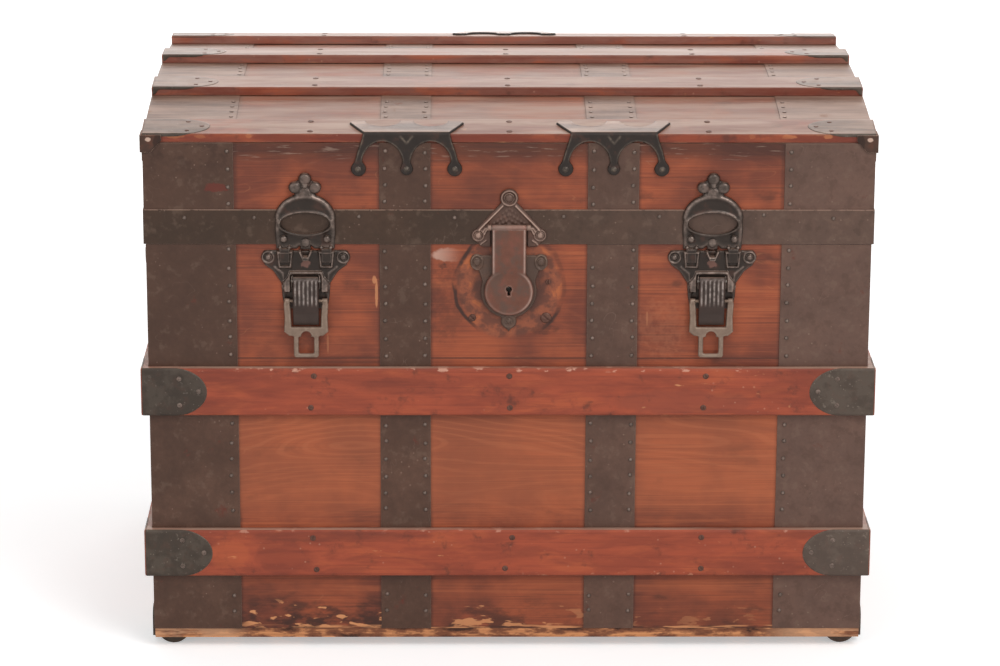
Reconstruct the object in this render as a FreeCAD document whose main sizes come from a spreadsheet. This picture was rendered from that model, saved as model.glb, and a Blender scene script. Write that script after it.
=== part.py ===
"""A slatted, metal-bound travel trunk with a low crowned lid, as a parametric FreeCAD document.

The frame is X to the right, Y to the back and Z up, in millimetres, with the origin on the ground
under the middle of the trunk.  The front face looks along -Y.  Every driving size is a cell of the
sheet Sizes, every height and place worked out from them is a cell of the sheet Places, and each
sub-part is bound to those cells.
"""
import FreeCAD
import Part
import os
import re
import Sketcher

# ---------------------------------------------------------------------------------------------
# Driving sizes
# ---------------------------------------------------------------------------------------------
SIZES = {
    # box of boards
    "body_length": 812.0,
    "body_depth": 533.0,
    "joint_height": 482.0,
    "joint_gap": 0.4,
    "board_thickness": 12.0,
    "bottom_thickness": 11.0,
    "lining_thickness": 0.6,
    "lining_clearance": 0.2,
    # lid
    "lid_overhang": 1.6,
    "lid_side_height": 115.6,
    "crown_rise": 19.0,
    "panel_thickness": 12.0,
    # runners and shoes under the bottom
    "runner_height": 12.0,
    "runner_width": 44.0,
    "runner_spacing": 200.0,
    "runner_end_setback": 60.0,
    "shoe_thickness": 3.0,
    "shoe_plate_height": 31.0,
    "shoe_plate_width": 56.0,
    "shoe_front_setback": 14.0,
    "shoe_foot_width": 34.0,
    "shoe_foot_inset": 7.0,
    "shoe_plate_round": 14.0,
    # sheet metal
    "sheet_metal": 0.8,
    "band_width": 57.0,
    "band_latch_gap": 33.0,
    "corner_leg": 100.0,
    "rim_band_height": 40.0,
    "skirt_drop": 20.0,
    # slats round the body
    "slat_thickness": 8.4,
    "slat_width": 56.0,
    "slat_round": 2.5,
    "lower_slat_height": 118.0,
    "upper_slat_drop": 171.0,
    "clamp_thickness": 1.0,
    "clamp_length": 75.0,
    "clamp_margin": 4.0,
    "clamp_tip": 27.0,
    "clamp_tip_bow": 3.9,
    # slats along the lid
    "lid_slat_width": 48.0,
    "lid_slat_thickness": 10.0,
    "lid_slat_edge": 1.0,
    "lid_clamp_thickness": 0.8,
    "lid_clamp_length": 75.0,
    "lid_clamp_margin": 2.0,
    "lid_clamp_tip": 26.0,
    "lid_clamp_tip_bow": 3.7,
    "lid_clamp_drop": 14.0,
    "cap_width": 24.0,
    "cap_height": 20.0,
    "cap_thickness": 0.8,
    "cap_clearance": 0.3,
    # three-pronged slat brackets
    "bracket_thickness": 1.6,
    "bracket_clearance": 0.2,
    "bracket_half_bend": 48.0,
    "bracket_prong_spacing": 55.0,
    "bracket_prong_half_width": 3.6,
    "bracket_front_reach": 37.0,
    "bracket_top_reach": 29.0,
    "bracket_foot_radius": 8.2,
    "bracket_web": 8.0,
    # hinges
    "hinge_axis_out": 6.2,
    "hinge_barrel_radius": 4.0,
    "hinge_pin_radius": 2.0,
    "hinge_pin_clearance": 0.15,
    "hinge_width": 54.0,
    "hinge_leaf_length": 62.0,
    "hinge_leaf_thickness": 1.6,
    "hinge_leaf_round": 10.8,
    "hinge_knuckle_half": 11.0,
    "hinge_knuckle_gap": 0.4,
    "hinge_corner_gap": 29.0,
    # leather handles on the ends
    "handle_drop": 71.0,
    "handle_half_length": 118.0,
    "handle_strap_height": 26.0,
    "handle_strap_thickness": 5.0,
    "handle_stand_off": 14.0,
    "handle_foot_length": 42.0,
    "handle_rise_length": 26.0,
    "handle_cap_length": 40.0,
    "handle_cap_height": 40.0,
    "handle_cap_thickness": 1.5,
    "handle_clearance": 0.3,
    # drawer-like tray
    "tray_height": 95.0,
    "tray_rim_gap": 5.0,
    "tray_clearance": 2.5,
    "tray_board": 8.0,
    "tray_floor_thickness": 5.0,
    "tray_partition_offset": 150.0,
    "tray_seat_gap": 0.3,
    "tab_width": 26.0,
    "tab_length": 46.0,
    "tab_thickness": 2.5,
    "cleat_height": 14.0,
    "cleat_thickness": 14.0,
    # latches
    "latch_corner_gap": 28.0,
    "latch_plate_thickness": 2.4,
    "latch_ear_radius": 8.5,
    "latch_ear_spacing": 41.5,
    "latch_ear_drop": 13.5,
    "latch_plate_drop": 32.0,
    "latch_plate_half_width": 26.0,
    "latch_foot_taper": 6.0,
    "latch_foot_bow": 4.0,
    "socket_inner": 15.2,
    "socket_outer": 31.6,
    "socket_height": 16.0,
    "socket_drop": 6.5,
    "socket_depth": 6.4,
    "socket_wall": 1.3,
    "socket_back_wall": 0.5,
    "dowel_clearance": 0.6,
    "dowel_front_clearance": 0.9,
    "dowel_root": 12.0,
    "lever_pivot_drop": 41.0,
    "lever_pivot_out": 7.6,
    "lever_pin_radius": 1.8,
    "lever_pin_clearance": 0.2,
    "lever_knuckle_radius": 4.6,
    "lever_half_width": 14.4,
    "lever_lug_thickness": 1.6,
    "lever_lug_radius": 5.2,
    "lever_side_gap": 0.4,
    "lever_length": 51.8,
    "lever_tip_out": 7.5,
    "lever_tab_drop": 39.0,
    "lever_tab_out": 8.6,
    "lever_back_out": 4.2,
    "lever_bulge": 4.0,
    "rib_count": 6.0,
    "rib_width": 2.2,
    "rib_pitch": 4.6,
    "rib_height": 1.2,
    "bail_pivot_drop": 23.0,
    "bail_pivot_out": 8.0,
    "bail_pin_radius": 1.7,
    "bail_pin_length": 5.5,
    "bail_thickness": 2.4,
    "bail_half_width": 25.0,
    "bail_arm_gap": 0.6,
    "bail_tip_gap": 1.8,
    "bail_bar_width": 8.8,
    "bail_ring_half_width": 14.2,
    "bail_ring_wall": 4.4,
    "bail_ring_length": 27.2,
    "keeper_half_width": 34.0,
    "keeper_gap": 0.9,
    "keeper_shoulder_rise": 30.0,
    "keeper_crown": 29.0,
    "keeper_window_drop": 5.0,
    "keeper_window_half_length": 28.0,
    "keeper_window_rise": 12.5,
    "keeper_rim_width": 4.5,
    "keeper_rim_height": 2.2,
    "finial_rise": 68.0,
    "finial_lobe_radius": 6.4,
    "finial_lobe_spacing": 12.0,
    "finial_top_rise": 9.5,
    "finial_neck_half_width": 9.0,
    "hook_half_width": 8.4,
    "hook_drop": 19.5,
    "hook_reach": 8.6,
    "hook_lip": 2.4,
    "hook_sole": 8.5,
    "hook_root": 2.2,
    "hook_back_overlap": 0.4,
    "hook_root_length": 26.5,
    "hook_clearance": 0.9,
    # lock
    "hasp_axis_rise": 21.0,
    "hasp_axis_out": 7.2,
    "hasp_barrel_radius": 3.2,
    "hasp_pin_radius": 1.5,
    "hasp_pin_clearance": 0.15,
    "hasp_half_width": 19.5,
    "hasp_thickness": 3.0,
    "hasp_back_gap": 0.6,
    "hasp_disc_drop": 54.6,
    "hasp_disc_radius": 27.8,
    "hasp_disc_thickness": 5.2,
    "hasp_disc_round": 2.0,
    "hasp_knuckle_length": 4.2,
    "hasp_knuckle_gap": 0.4,
    "hasp_plate_thickness": 2.0,
    "hasp_plate_drop": 19.0,
    "hasp_boss_rise": 33.0,
    "hasp_boss_radius": 10.5,
    "hasp_lobe_spacing": 34.3,
    "hasp_lobe_drop": 9.5,
    "hasp_lobe_radius": 7.8,
    "keyhole_rise": 3.2,
    "keyhole_radius": 2.6,
    "keyhole_half_slot": 1.1,
    "keyhole_drop": 6.4,
    "staple_half_width": 2.0,
    "staple_depth": 8.4,
    "staple_rise": 6.6,
    "staple_height": 13.0,
    "staple_wall": 2.4,
    "lock_plate_thickness": 2.2,
    "lock_plate_radius": 31.0,
    "lock_ear_spacing": 35.5,
    "lock_ear_rise": 34.0,
    "lock_ear_radius": 8.0,
    "lock_lobe_drop": 34.4,
    "lock_lobe_radius": 9.0,
    "lock_tip_drop": 13.3,
    "lock_tip_half_width": 7.0,
    "lock_tip_root_drop": 4.0,
    "lock_slot_half_width": 3.6,
    "lock_slot_depth": 13.0,
    "lock_case_half_width": 26.0,
    "lock_case_depth": 22.0,
    "lock_case_drop": 17.0,
    "lock_case_wall": 1.2,
    "lock_case_clearance": 0.3,
    "bolt_length": 18.0,
    "bolt_rest": 4.2,
    "bolt_clearance": 0.5,
    "bolt_guide_length": 11.0,
}

# ---------------------------------------------------------------------------------------------
# Places worked out from the driving sizes
# ---------------------------------------------------------------------------------------------
PLACES = {
    "half_length": "body_length / 2",
    "half_depth": "body_depth / 2",
    "inner_half_length": "half_length - board_thickness",
    "inner_half_depth": "half_depth - board_thickness",
    "floor_top": "runner_height + bottom_thickness",
    "latch_half_span": "latch_ear_spacing + latch_ear_radius",
    "latch_offset": "half_length - corner_leg - latch_corner_gap - latch_half_span",
    "band_offset": "latch_offset - latch_half_span - band_latch_gap - band_width / 2",
    "hinge_offset": "half_length - corner_leg - hinge_corner_gap - hinge_width / 2",
    "upper_slat_height": "joint_height - upper_slat_drop",
    "handle_height": "joint_height - handle_drop",
    "lid_bottom": "joint_height + joint_gap",
    "lid_edge_height": "lid_bottom + lid_side_height",
    "lid_half_length": "half_length + lid_overhang",
    "crown_radius": "(half_depth^2 + crown_rise^2) / (2 * crown_rise)",
    "crown_centre": "lid_edge_height + crown_rise - crown_radius",
    "under_radius": "crown_radius - panel_thickness",
    "metal_radius": "crown_radius + sheet_metal",
    "slat_back": "half_depth + sheet_metal",
    "slat_front": "slat_back + slat_thickness",
    "slat_end_back": "half_length + sheet_metal",
    "slat_end_front": "slat_end_back + slat_thickness",
    "over_rim": "half_depth + 2 * sheet_metal",
    "lid_slat_half": "lid_half_length + 2 * sheet_metal",
    "hinge_axis_y": "half_depth + hinge_axis_out",
    "hinge_axis_z": "joint_height + joint_gap / 2",
    "tray_half_length": "inner_half_length - lining_thickness - tray_clearance",
    "tray_half_depth": "inner_half_depth - lining_thickness - tray_clearance",
    "tray_bottom": "joint_height - tray_rim_gap - tray_height",
    "cleat_top": "tray_bottom - tray_seat_gap",
    "lever_pivot_height": "joint_height - lever_pivot_drop",
    "lever_tip_height": "lever_pivot_height - lever_length",
    "lever_tab_height": "lever_pivot_height - lever_tab_drop",
    "latch_plate_bottom": "lever_pivot_height - latch_plate_drop",
    "latch_ear_height": "joint_height - latch_ear_drop",
    "socket_top": "joint_height - socket_drop",
    "socket_bottom": "socket_top - socket_height",
    "bail_pivot_height": "lever_pivot_height - bail_pivot_drop",
    "bail_bar_top": "lever_tip_height - bail_tip_gap",
    "bail_bar_bottom": "bail_bar_top - bail_bar_width",
    "bail_ring_bottom": "bail_bar_bottom - bail_ring_length",
    "keeper_bottom": "socket_top + keeper_gap",
    "keeper_shoulder": "joint_height + keeper_shoulder_rise",
    "keeper_window_height": "keeper_shoulder - keeper_window_drop",
    "finial_height": "joint_height + finial_rise",
    "hook_bottom": "joint_height - hook_drop",
    "hook_mouth": "hook_bottom + hook_sole",
    "hook_root_top": "hook_bottom + hook_root_length",
    "lever_axis_y": "-(half_depth + lever_pivot_out)",
    "bail_axis_y": "-(half_depth + bail_pivot_out)",
    "lug_inner_half": "lever_half_width + lever_side_gap",
    "lug_outer_half": "lug_inner_half + lever_lug_thickness",
    "bail_inner_half": "lug_outer_half + bail_arm_gap",
    "hook_top": "2 * bail_pivot_height - bail_ring_bottom - bail_ring_wall - hook_clearance",
    "hasp_axis_height": "joint_height + hasp_axis_rise",
    "hasp_disc_height": "joint_height - hasp_disc_drop",
    "hasp_plate_bottom": "hasp_axis_height - hasp_plate_drop",
    "hasp_boss_height": "hasp_axis_height + hasp_boss_rise",
    "hasp_lobe_height": "hasp_axis_height - hasp_lobe_drop",
    "keyhole_height": "hasp_disc_height + keyhole_rise",
    "staple_bottom": "hasp_disc_height + staple_rise",
    "lock_ear_height": "hasp_disc_height + lock_ear_rise",
    "lock_lobe_height": "hasp_disc_height - lock_lobe_drop",
    "lock_tip_height": "lock_lobe_height - lock_tip_drop",
    "lock_tip_root": "lock_lobe_height - lock_tip_root_drop",
    "lock_slot_bottom": "staple_bottom - lock_slot_depth",
    "lock_case_bottom": "staple_bottom - lock_case_depth",
    "lock_case_top": "joint_height - lock_case_drop",
    "hasp_back": "half_depth + lock_plate_thickness + hasp_back_gap",
    "hasp_tongue_back": "half_depth + hasp_axis_out - hasp_thickness",
    "eye_bottom": "staple_bottom + staple_wall",
    "eye_top": "staple_bottom + staple_height - staple_wall",
    "eye_outer": "half_depth - staple_wall / 2",
    "eye_inner": "half_depth - staple_depth + staple_wall",
}

doc = FreeCAD.newDocument("trunk")
sheets = {}
for sheet_name, cells in (("Sizes", SIZES), ("Places", PLACES)):
    sheet = doc.addObject("Spreadsheet::Sheet", sheet_name)
    sheets[sheet_name] = sheet


def formula(text):
    """Write the sheet's name before every size or place that the text uses."""
    def with_sheet(match):
        word = match.group(0)
        if word in SIZES:
            return "Sizes." + word
        if word in PLACES:
            return "Places." + word
        return word
    return re.sub(r"[a-z_]+", with_sheet, text)


for row, (word, number) in enumerate(SIZES.items(), start=1):
    sheets["Sizes"].set(f"A{row}", word)
    sheets["Sizes"].set(f"B{row}", str(number))
    sheets["Sizes"].setAlias(f"B{row}", word)
for row, (word, text) in enumerate(PLACES.items(), start=1):
    sheets["Places"].set(f"A{row}", word)
    sheets["Places"].setAlias(f"B{row}", word)
    sheets["Places"].set(f"B{row}", "=" + formula(text))
doc.recompute()


def value(text):
    """The number that a text of sizes and places comes to."""
    number = sheets["Places"].evalExpression(formula(text))
    return float(getattr(number, "Value", number))


# ---------------------------------------------------------------------------------------------
# Shapes that a sketch is drawn with.  Each is a function that draws into a sketch.
# ---------------------------------------------------------------------------------------------
POINTS = ("edge", "start", "end", "centre")
START = POINTS.index("start")
END = POINTS.index("end")
CENTRE = POINTS.index("centre")


def constrain(drawing, constraint, text):
    index = drawing.addConstraint(constraint)
    drawing.setExpression(f"Constraints[{index}]", formula(text))


def hold(drawing, geometry, point, across, up):
    """Hold a point of the drawing at its distances from the drawing's origin, its geometry -1."""
    for kind, text in (("DistanceX", across), ("DistanceY", up)):
        constraint = Sketcher.Constraint(kind, -1, START, geometry, point, value(text))
        constrain(drawing, constraint, text)


def disc(across, up, radius):
    """A circle, given by its centre and its radius."""
    def draw(drawing):
        centre = FreeCAD.Vector(value(across), value(up), 0)
        circle = Part.Circle(centre, FreeCAD.Vector(0, 0, 1), value(radius))
        geometry = drawing.addGeometry(circle)
        hold(drawing, geometry, CENTRE, across, up)
        constrain(drawing, Sketcher.Constraint("Radius", geometry, value(radius)), radius)
    return draw


def outline(*corners):
    """A closed line through corners given anticlockwise.

    A corner is (across, up), or (across, up, side, rise) where an arc leads to the next corner:
    side is "out" or "in", and rise is how far the arc's middle stands off its chord.
    """
    def draw(drawing):
        ends = []
        for here, there in zip(corners, corners[1:] + corners[:1]):
            start = FreeCAD.Vector(value(here[0]), value(here[1]), 0)
            end = FreeCAD.Vector(value(there[0]), value(there[1]), 0)
            if len(here) == 2:
                geometry = drawing.addGeometry(Part.LineSegment(start, end))
                first, last = START, END
            else:
                side, rise = here[2:]
                chord = end - start
                right = FreeCAD.Vector(chord.y, -chord.x, 0).normalize()
                if side == "out":
                    middle = (start + end) / 2 + right * value(rise)
                    geometry = drawing.addGeometry(Part.Arc(start, middle, end))
                    first, last = START, END
                else:
                    middle = (start + end) / 2 - right * value(rise)
                    geometry = drawing.addGeometry(Part.Arc(end, middle, start))
                    first, last = END, START
                across = f"(({there[0]}) - ({here[0]}))"
                up = f"(({there[1]}) - ({here[1]}))"
                radius = f"({across}^2 + {up}^2) / (8 * ({rise})) + ({rise}) / 2"
                constraint = Sketcher.Constraint("Radius", geometry, value(radius))
                constrain(drawing, constraint, radius)
            hold(drawing, geometry, first, here[0], here[1])
            ends.append((geometry, first, last))
        for here, there in zip(ends, ends[1:] + ends[:1]):
            drawing.addConstraint(Sketcher.Constraint("Coincident", here[0], here[2], there[0], there[1]))
    return draw


def rectangle(left, bottom, right, top):
    return outline((left, bottom), (right, bottom), (right, top), (left, top))


def symmetric(*right, bottom=()):
    """An outline that is the same on both sides of its middle, from its right half, bottom first."""
    arcs = [bottom] + [corner[2:] for corner in right]
    left = []
    for corner, arc in zip(reversed(right), reversed(arcs[:-1])):
        if corner[0] != "0":
            left.append((f"-({corner[0]})", corner[1]) + tuple(arc))
    return outline(*right, *left)


# ---------------------------------------------------------------------------------------------
# Ways of making a sub-part
# ---------------------------------------------------------------------------------------------
nodes = []
AXES = {"x": FreeCAD.Vector(1, 0, 0), "y": FreeCAD.Vector(0, 1, 0), "z": FreeCAD.Vector(0, 0, 1)}


def node(thing, name):
    """Give a finished sub-part the name of its file."""
    thing.Label = name
    nodes.append(thing)
    return thing


def place(thing, across="0", back="0", up="0"):
    for axis, text in (("x", across), ("y", back), ("z", up)):
        if text != "0":
            thing.setExpression(f"Placement.Base.{axis}", formula(text))


class Piece:
    """One PartDesign body.  A plane's level is measured along its normal: front, right or up.

    The plane XZ looks to the front, so its levels grow towards -Y; YZ looks to the right and XY up.
    """

    def __init__(self, name, across="0", back="0", up="0"):
        self.body = doc.addObject("PartDesign::Body", name)
        place(self.body, across, back, up)

    def origin(self, role):
        for feature in self.body.Origin.OriginFeatures:
            if feature.Role == role:
                return feature
        raise ValueError("no origin feature " + role)

    def draw(self, plane, level, shapes):
        drawing = self.body.newObject("Sketcher::SketchObject", self.body.Name + "_drawing")
        drawing.AttachmentSupport = (self.origin(plane + "_Plane"), [""])
        drawing.MapMode = "FlatFace"
        drawing.setExpression("AttachmentOffset.Base.z", formula(level))
        for shape in shapes:
            shape(drawing)
        return drawing

    def feature(self, kind, plane, level, depth, shapes):
        drawing = self.draw(plane, level, shapes)
        made = self.body.newObject("PartDesign::" + kind, self.body.Name + "_" + kind.lower())
        made.Profile = drawing
        made.setExpression("Length", formula(depth))
        return made

    def pad(self, plane, level, depth, *shapes):
        """Add what the shapes enclose, from a level and as deep as given along the normal."""
        return self.feature("Pad", plane, level, depth, shapes)

    def pocket(self, plane, level, depth, *shapes):
        """Take away what the shapes enclose, from a level and as deep as given along the normal."""
        made = self.feature("Pocket", plane, level, depth, shapes)
        made.Reversed = True
        return made

    def repeat(self, feature, spacing, count):
        """Repeat a feature to the right, a number of times in all."""
        made = self.body.newObject("PartDesign::LinearPattern", self.body.Name + "_pattern")
        made.Originals = [feature]
        made.Direction = (self.origin("X_Axis"), [""])
        made.setExpression("Length", formula(f"({spacing}) * ({count} - 1)"))
        made.setExpression("Occurrences", formula(count))
        self.body.Tip = made
        return made

    def fillet(self, radius, axis, test):
        """Round the straight edges along an axis whose middle point passes the test."""
        doc.recompute()
        base = self.body.Tip
        chosen = []
        for number, edge in enumerate(base.Shape.Edges, start=1):
            straight = isinstance(edge.Curve, Part.Line)
            if straight and abs(edge.Curve.Direction.dot(AXES[axis])) > 0.999:
                if test(edge.CenterOfMass):
                    chosen.append(f"Edge{number}")
        made = self.body.newObject("PartDesign::Fillet", self.body.Name + "_fillet")
        made.Base = (base, chosen)
        made.setExpression("Radius", formula(radius))
        return made


def slab(name, left, right, front, back, bottom, top):
    """A plain board or strip between six planes."""
    made = doc.addObject("Part::Box", name)
    made.setExpression("Length", formula(f"({right}) - ({left})"))
    made.setExpression("Width", formula(f"({back}) - ({front})"))
    made.setExpression("Height", formula(f"({top}) - ({bottom})"))
    place(made, left, front, bottom)
    return made


def rod(name, radius, left, right, back, up):
    """A round pin along X between two planes, about the line at back and up."""
    made = doc.addObject("Part::Cylinder", name)
    made.setExpression("Radius", formula(radius))
    made.setExpression("Height", formula(f"({right}) - ({left})"))
    made.Placement.Rotation = FreeCAD.Rotation(AXES["y"], 90)
    place(made, left, back, up)
    return made


def mirror(source, axis):
    """The same shape on the other side of the trunk's middle plane."""
    made = doc.addObject("Part::Mirroring", source.Name + "_mirror_" + axis)
    made.Source = source
    made.Normal = AXES[axis]
    return made


def four_corners(source):
    """A piece at the front right corner, and its three mirror images."""
    left = mirror(source, "x")
    return [source, left, mirror(source, "y"), mirror(left, "y")]


def group(name, members):
    """Separate solids that share one node."""
    made = doc.addObject("Part::Compound", name)
    made.Links = members
    return made


def cut(name, whole, tool):
    made = doc.addObject("Part::Cut", name)
    made.Base = whole
    made.Tool = tool
    return made


def fuse(name, members):
    made = doc.addObject("Part::MultiFuse", name)
    made.Shapes = members
    return made


def crown_height(radius, back):
    """Height of an arc about the crown's centre, over a line that lies back from the middle."""
    return f"(crown_centre + sqrt(({radius})^2 - ({back})^2))"


def crown_rise_over(radius, half_width):
    """How far that arc's middle stands over its ends."""
    return f"(({radius}) - sqrt(({radius})^2 - ({half_width})^2))"


# ---------------------------------------------------------------------------------------------
# The box of boards
# ---------------------------------------------------------------------------------------------
def make_body_boards():
    bottom = slab("body_bottom_board", "-half_length", "half_length", "-half_depth", "half_depth",
                  "runner_height", "floor_top")
    node(bottom, "body_bottom_board")

    # the front board is mortised for the lock case and notched above it for the hasp's staple
    front = Piece("body_front_board")
    mortise = rectangle("-lock_case_half_width", "lock_case_bottom",
                        "lock_case_half_width", "lock_case_top")
    front.pad("XZ", "inner_half_depth", "board_thickness",
              rectangle("-half_length", "floor_top", "half_length", "joint_height"), mortise)
    front.pocket("XZ", "half_depth - staple_depth - dowel_clearance", "staple_depth + dowel_clearance",
                 rectangle("-lock_slot_half_width", "lock_case_top - lock_case_wall",
                           "lock_slot_half_width", "joint_height + board_thickness"))
    node(front.body, "body_front_board")

    back = slab("body_back_board", "-half_length", "half_length", "inner_half_depth", "half_depth",
                "floor_top", "joint_height")
    node(back, "body_back_board")
    for side, left, right in (("left", "-half_length", "-inner_half_length"),
                              ("right", "inner_half_length", "half_length")):
        end = slab("body_end_board_" + side, left, right, "-inner_half_depth", "inner_half_depth",
                   "floor_top", "joint_height")
        node(end, "body_end_board_" + side)


def make_body_lining():
    """Lining paper on the floor and the four walls, up to the rim."""
    whole = slab("lining_outside", "-inner_half_length", "inner_half_length",
                 "-inner_half_depth", "inner_half_depth", "floor_top", "joint_height")
    room = slab("lining_inside", "-inner_half_length + lining_thickness",
                "inner_half_length - lining_thickness", "-inner_half_depth + lining_thickness",
                "inner_half_depth - lining_thickness", "floor_top + lining_thickness",
                "joint_height + lining_thickness")
    node(cut("body_lining", whole, room), "body_lining")


def make_runners():
    runners = []
    for row, offset in (("front", "-runner_spacing"), ("middle", "0"), ("back", "runner_spacing")):
        runner = Piece("runner_" + row)
        half = "(half_length - runner_end_setback)"
        runner.pad("YZ", "-" + half, "2 * " + half,
                   rectangle(f"{offset} - runner_width / 2", "0",
                             f"{offset} + runner_width / 2", "runner_height"))
        runner.fillet("runner_height / 2", "y", lambda middle: middle.z < 1)
        runners.append(runner.body)
    node(group("bottom_runners", runners), "bottom_runners")


def make_shoes():
    """Cast shoes: a plate on the end, a plate under the bottom and a rounded foot."""
    shoe = Piece("shoe")
    front = "-(half_depth - shoe_front_setback)"
    rear = f"({front} + shoe_plate_width)"
    shoe.pad("YZ", "half_length + sheet_metal", "shoe_thickness",
             rectangle(front, "runner_height - shoe_thickness", rear, "runner_height + shoe_plate_height"))
    shoe.fillet("shoe_plate_round", "x",
                lambda middle: middle.z > value("runner_height + shoe_plate_height / 2"))
    outer = "half_length + sheet_metal + shoe_thickness"
    shoe.pad("XY", "runner_height - shoe_thickness", "shoe_thickness",
             rectangle(f"{outer} - 2 * shoe_foot_inset - shoe_foot_width", front, outer, rear))
    foot = f"({outer} - shoe_foot_inset - shoe_foot_width / 2)"
    shoe.pad("XZ", f"-({rear})", f"({rear}) - ({front})",
             outline((f"{foot} - shoe_foot_width / 2", "runner_height - shoe_thickness / 2",
                      "out", "runner_height - shoe_thickness / 2"),
                     (f"{foot} + shoe_foot_width / 2", "runner_height - shoe_thickness / 2")))
    node(group("bottom_corner_shoes", four_corners(shoe.body)), "bottom_corner_shoes")


# ---------------------------------------------------------------------------------------------
# Sheet metal on the body
# ---------------------------------------------------------------------------------------------
def make_body_metal():
    plate = Piece("body_corner_plate")
    inside = "half_length"
    outside = "half_length + sheet_metal"
    plate.pad("XY", "floor_top", "joint_height - floor_top",
              outline((f"{inside} - corner_leg", "-half_depth - sheet_metal"),
                      (outside, "-half_depth - sheet_metal"),
                      (outside, "-half_depth + corner_leg"),
                      (inside, "-half_depth + corner_leg"),
                      (inside, "-half_depth"),
                      (f"{inside} - corner_leg", "-half_depth")))
    plates = four_corners(plate.body)
    node(group("body_corner_plates_front", plates[:2]), "body_corner_plates_front")
    node(group("body_corner_plates_back", plates[2:]), "body_corner_plates_back")

    bands = []
    for side, centre in (("left", "-band_offset"), ("right", "band_offset")):
        band = slab(f"body_front_band_{side}", f"{centre} - band_width / 2", f"{centre} + band_width / 2",
                    "-half_depth - sheet_metal", "-half_depth", "floor_top", "joint_height")
        bands += [band, mirror(band, "y")]
    node(group("body_bands", bands), "body_bands")


# ---------------------------------------------------------------------------------------------
# Slats round the body, and the clamps on their corners
# ---------------------------------------------------------------------------------------------
def long_slat(name, height):
    """A slat across the front, whose ends cover the ends of the slats on the end faces."""
    slat = Piece(name)
    slat.pad("YZ", "-slat_end_front", "2 * slat_end_front",
             rectangle("-slat_front", f"{height} - slat_width / 2", "-slat_back",
                       f"{height} + slat_width / 2"))
    face = -value("slat_front")
    slat.fillet("slat_round", "x", lambda middle: abs(middle.y - face) < 0.1)
    return slat.body


def end_slat(name, height):
    """A slat across the right end, between the front and the back slats."""
    slat = Piece(name)
    slat.pad("XZ", "-slat_back", "2 * slat_back",
             rectangle("slat_end_back", f"{height} - slat_width / 2", "slat_end_front",
                       f"{height} + slat_width / 2"))
    face = value("slat_end_front")
    slat.fillet("slat_round", "y", lambda middle: abs(middle.x - face) < 0.1)
    return slat.body


def corner_clamp(name, height):
    """A sheet clamp bent round a corner of the slats, with a rounded tip on each leg."""
    clamp = Piece(name)
    half = "(slat_width / 2 - clamp_margin)"
    corner = "slat_end_front + clamp_thickness"
    clamp.pad("XZ", "slat_front", "clamp_thickness",
              outline((corner, f"{height} - {half}"),
                      (corner, f"{height} + {half}"),
                      (f"{corner} - clamp_length + clamp_tip", f"{height} + {half}", "out", "clamp_tip_bow"),
                      (f"{corner} - clamp_length", height, "out", "clamp_tip_bow"),
                      (f"{corner} - clamp_length + clamp_tip", f"{height} - {half}")))
    front = "-(slat_front + clamp_thickness)"
    clamp.pad("YZ", "slat_end_front", "clamp_thickness",
              outline((front, f"{height} - {half}"),
                      (f"{front} + clamp_length - clamp_tip", f"{height} - {half}", "out", "clamp_tip_bow"),
                      (f"{front} + clamp_length", height, "out", "clamp_tip_bow"),
                      (f"{front} + clamp_length - clamp_tip", f"{height} + {half}"),
                      (front, f"{height} + {half}")))
    return clamp.body


def make_body_slats():
    front_slats = []
    end_slats = []
    clamps = []
    for level in ("lower", "upper"):
        height = level + "_slat_height"
        front_slats.append(long_slat("front_slat_" + level, height))
        end_slats.append(end_slat("end_slat_" + level, height))
        clamps += four_corners(corner_clamp("corner_clamp_" + level, height))
    node(group("body_front_slats", front_slats), "body_front_slats")
    node(group("body_back_slats", [mirror(slat, "y") for slat in front_slats]), "body_back_slats")
    node(group("body_end_slats", end_slats + [mirror(slat, "x") for slat in end_slats]),
         "body_end_slats")
    node(group("body_slat_clamps", clamps), "body_slat_clamps")


# ---------------------------------------------------------------------------------------------
# Leather handles on the ends
# ---------------------------------------------------------------------------------------------
def make_handles():
    face = "(half_length + handle_clearance)"
    bow = f"({face} + handle_stand_off)"
    strap = Piece("handle_strap_right")
    thick = "handle_strap_thickness"
    foot = "handle_half_length - handle_foot_length"
    grip = f"{foot} - handle_rise_length"
    strap.pad("XY", "handle_height - handle_strap_height / 2", "handle_strap_height",
              outline((face, "-handle_half_length"),
                      (f"{face} + {thick}", "-handle_half_length"),
                      (f"{face} + {thick}", f"-({foot})"),
                      (f"{bow} + {thick}", f"-({grip})"),
                      (f"{bow} + {thick}", grip),
                      (f"{face} + {thick}", foot),
                      (f"{face} + {thick}", "handle_half_length"),
                      (face, "handle_half_length"),
                      (face, foot),
                      (bow, grip),
                      (bow, f"-({grip})"),
                      (face, f"-({foot})")))
    strap.fillet("handle_strap_thickness", "z", lambda middle: abs(middle.y) < value(grip) + 1)
    node(group("handle_straps", [strap.body, mirror(strap.body, "x")]), "handle_straps")

    cap = Piece("handle_cap_front")
    room = "handle_clearance"
    outer = f"{face} + {thick} + {room} + handle_cap_thickness"
    start = "-(handle_half_length + handle_cap_thickness + handle_clearance)"
    half = "handle_cap_height / 2"
    cap.pad("XY", f"handle_height - {half}", "handle_cap_height",
            rectangle("half_length", start, outer, f"{start} + handle_cap_length"))
    cap.fillet("handle_strap_thickness", "y", lambda middle: middle.x > value(face) + 1)
    cap.pocket("XY", f"handle_height - handle_strap_height / 2 - {room}",
               f"handle_strap_height + 2 * {room}",
               rectangle(f"half_length - {room}", f"{start} + handle_cap_thickness",
                         f"{face} + {thick} + {room}", f"{start} + 2 * handle_cap_length"))
    node(group("handle_caps", four_corners(cap.body)), "handle_caps")


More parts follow.
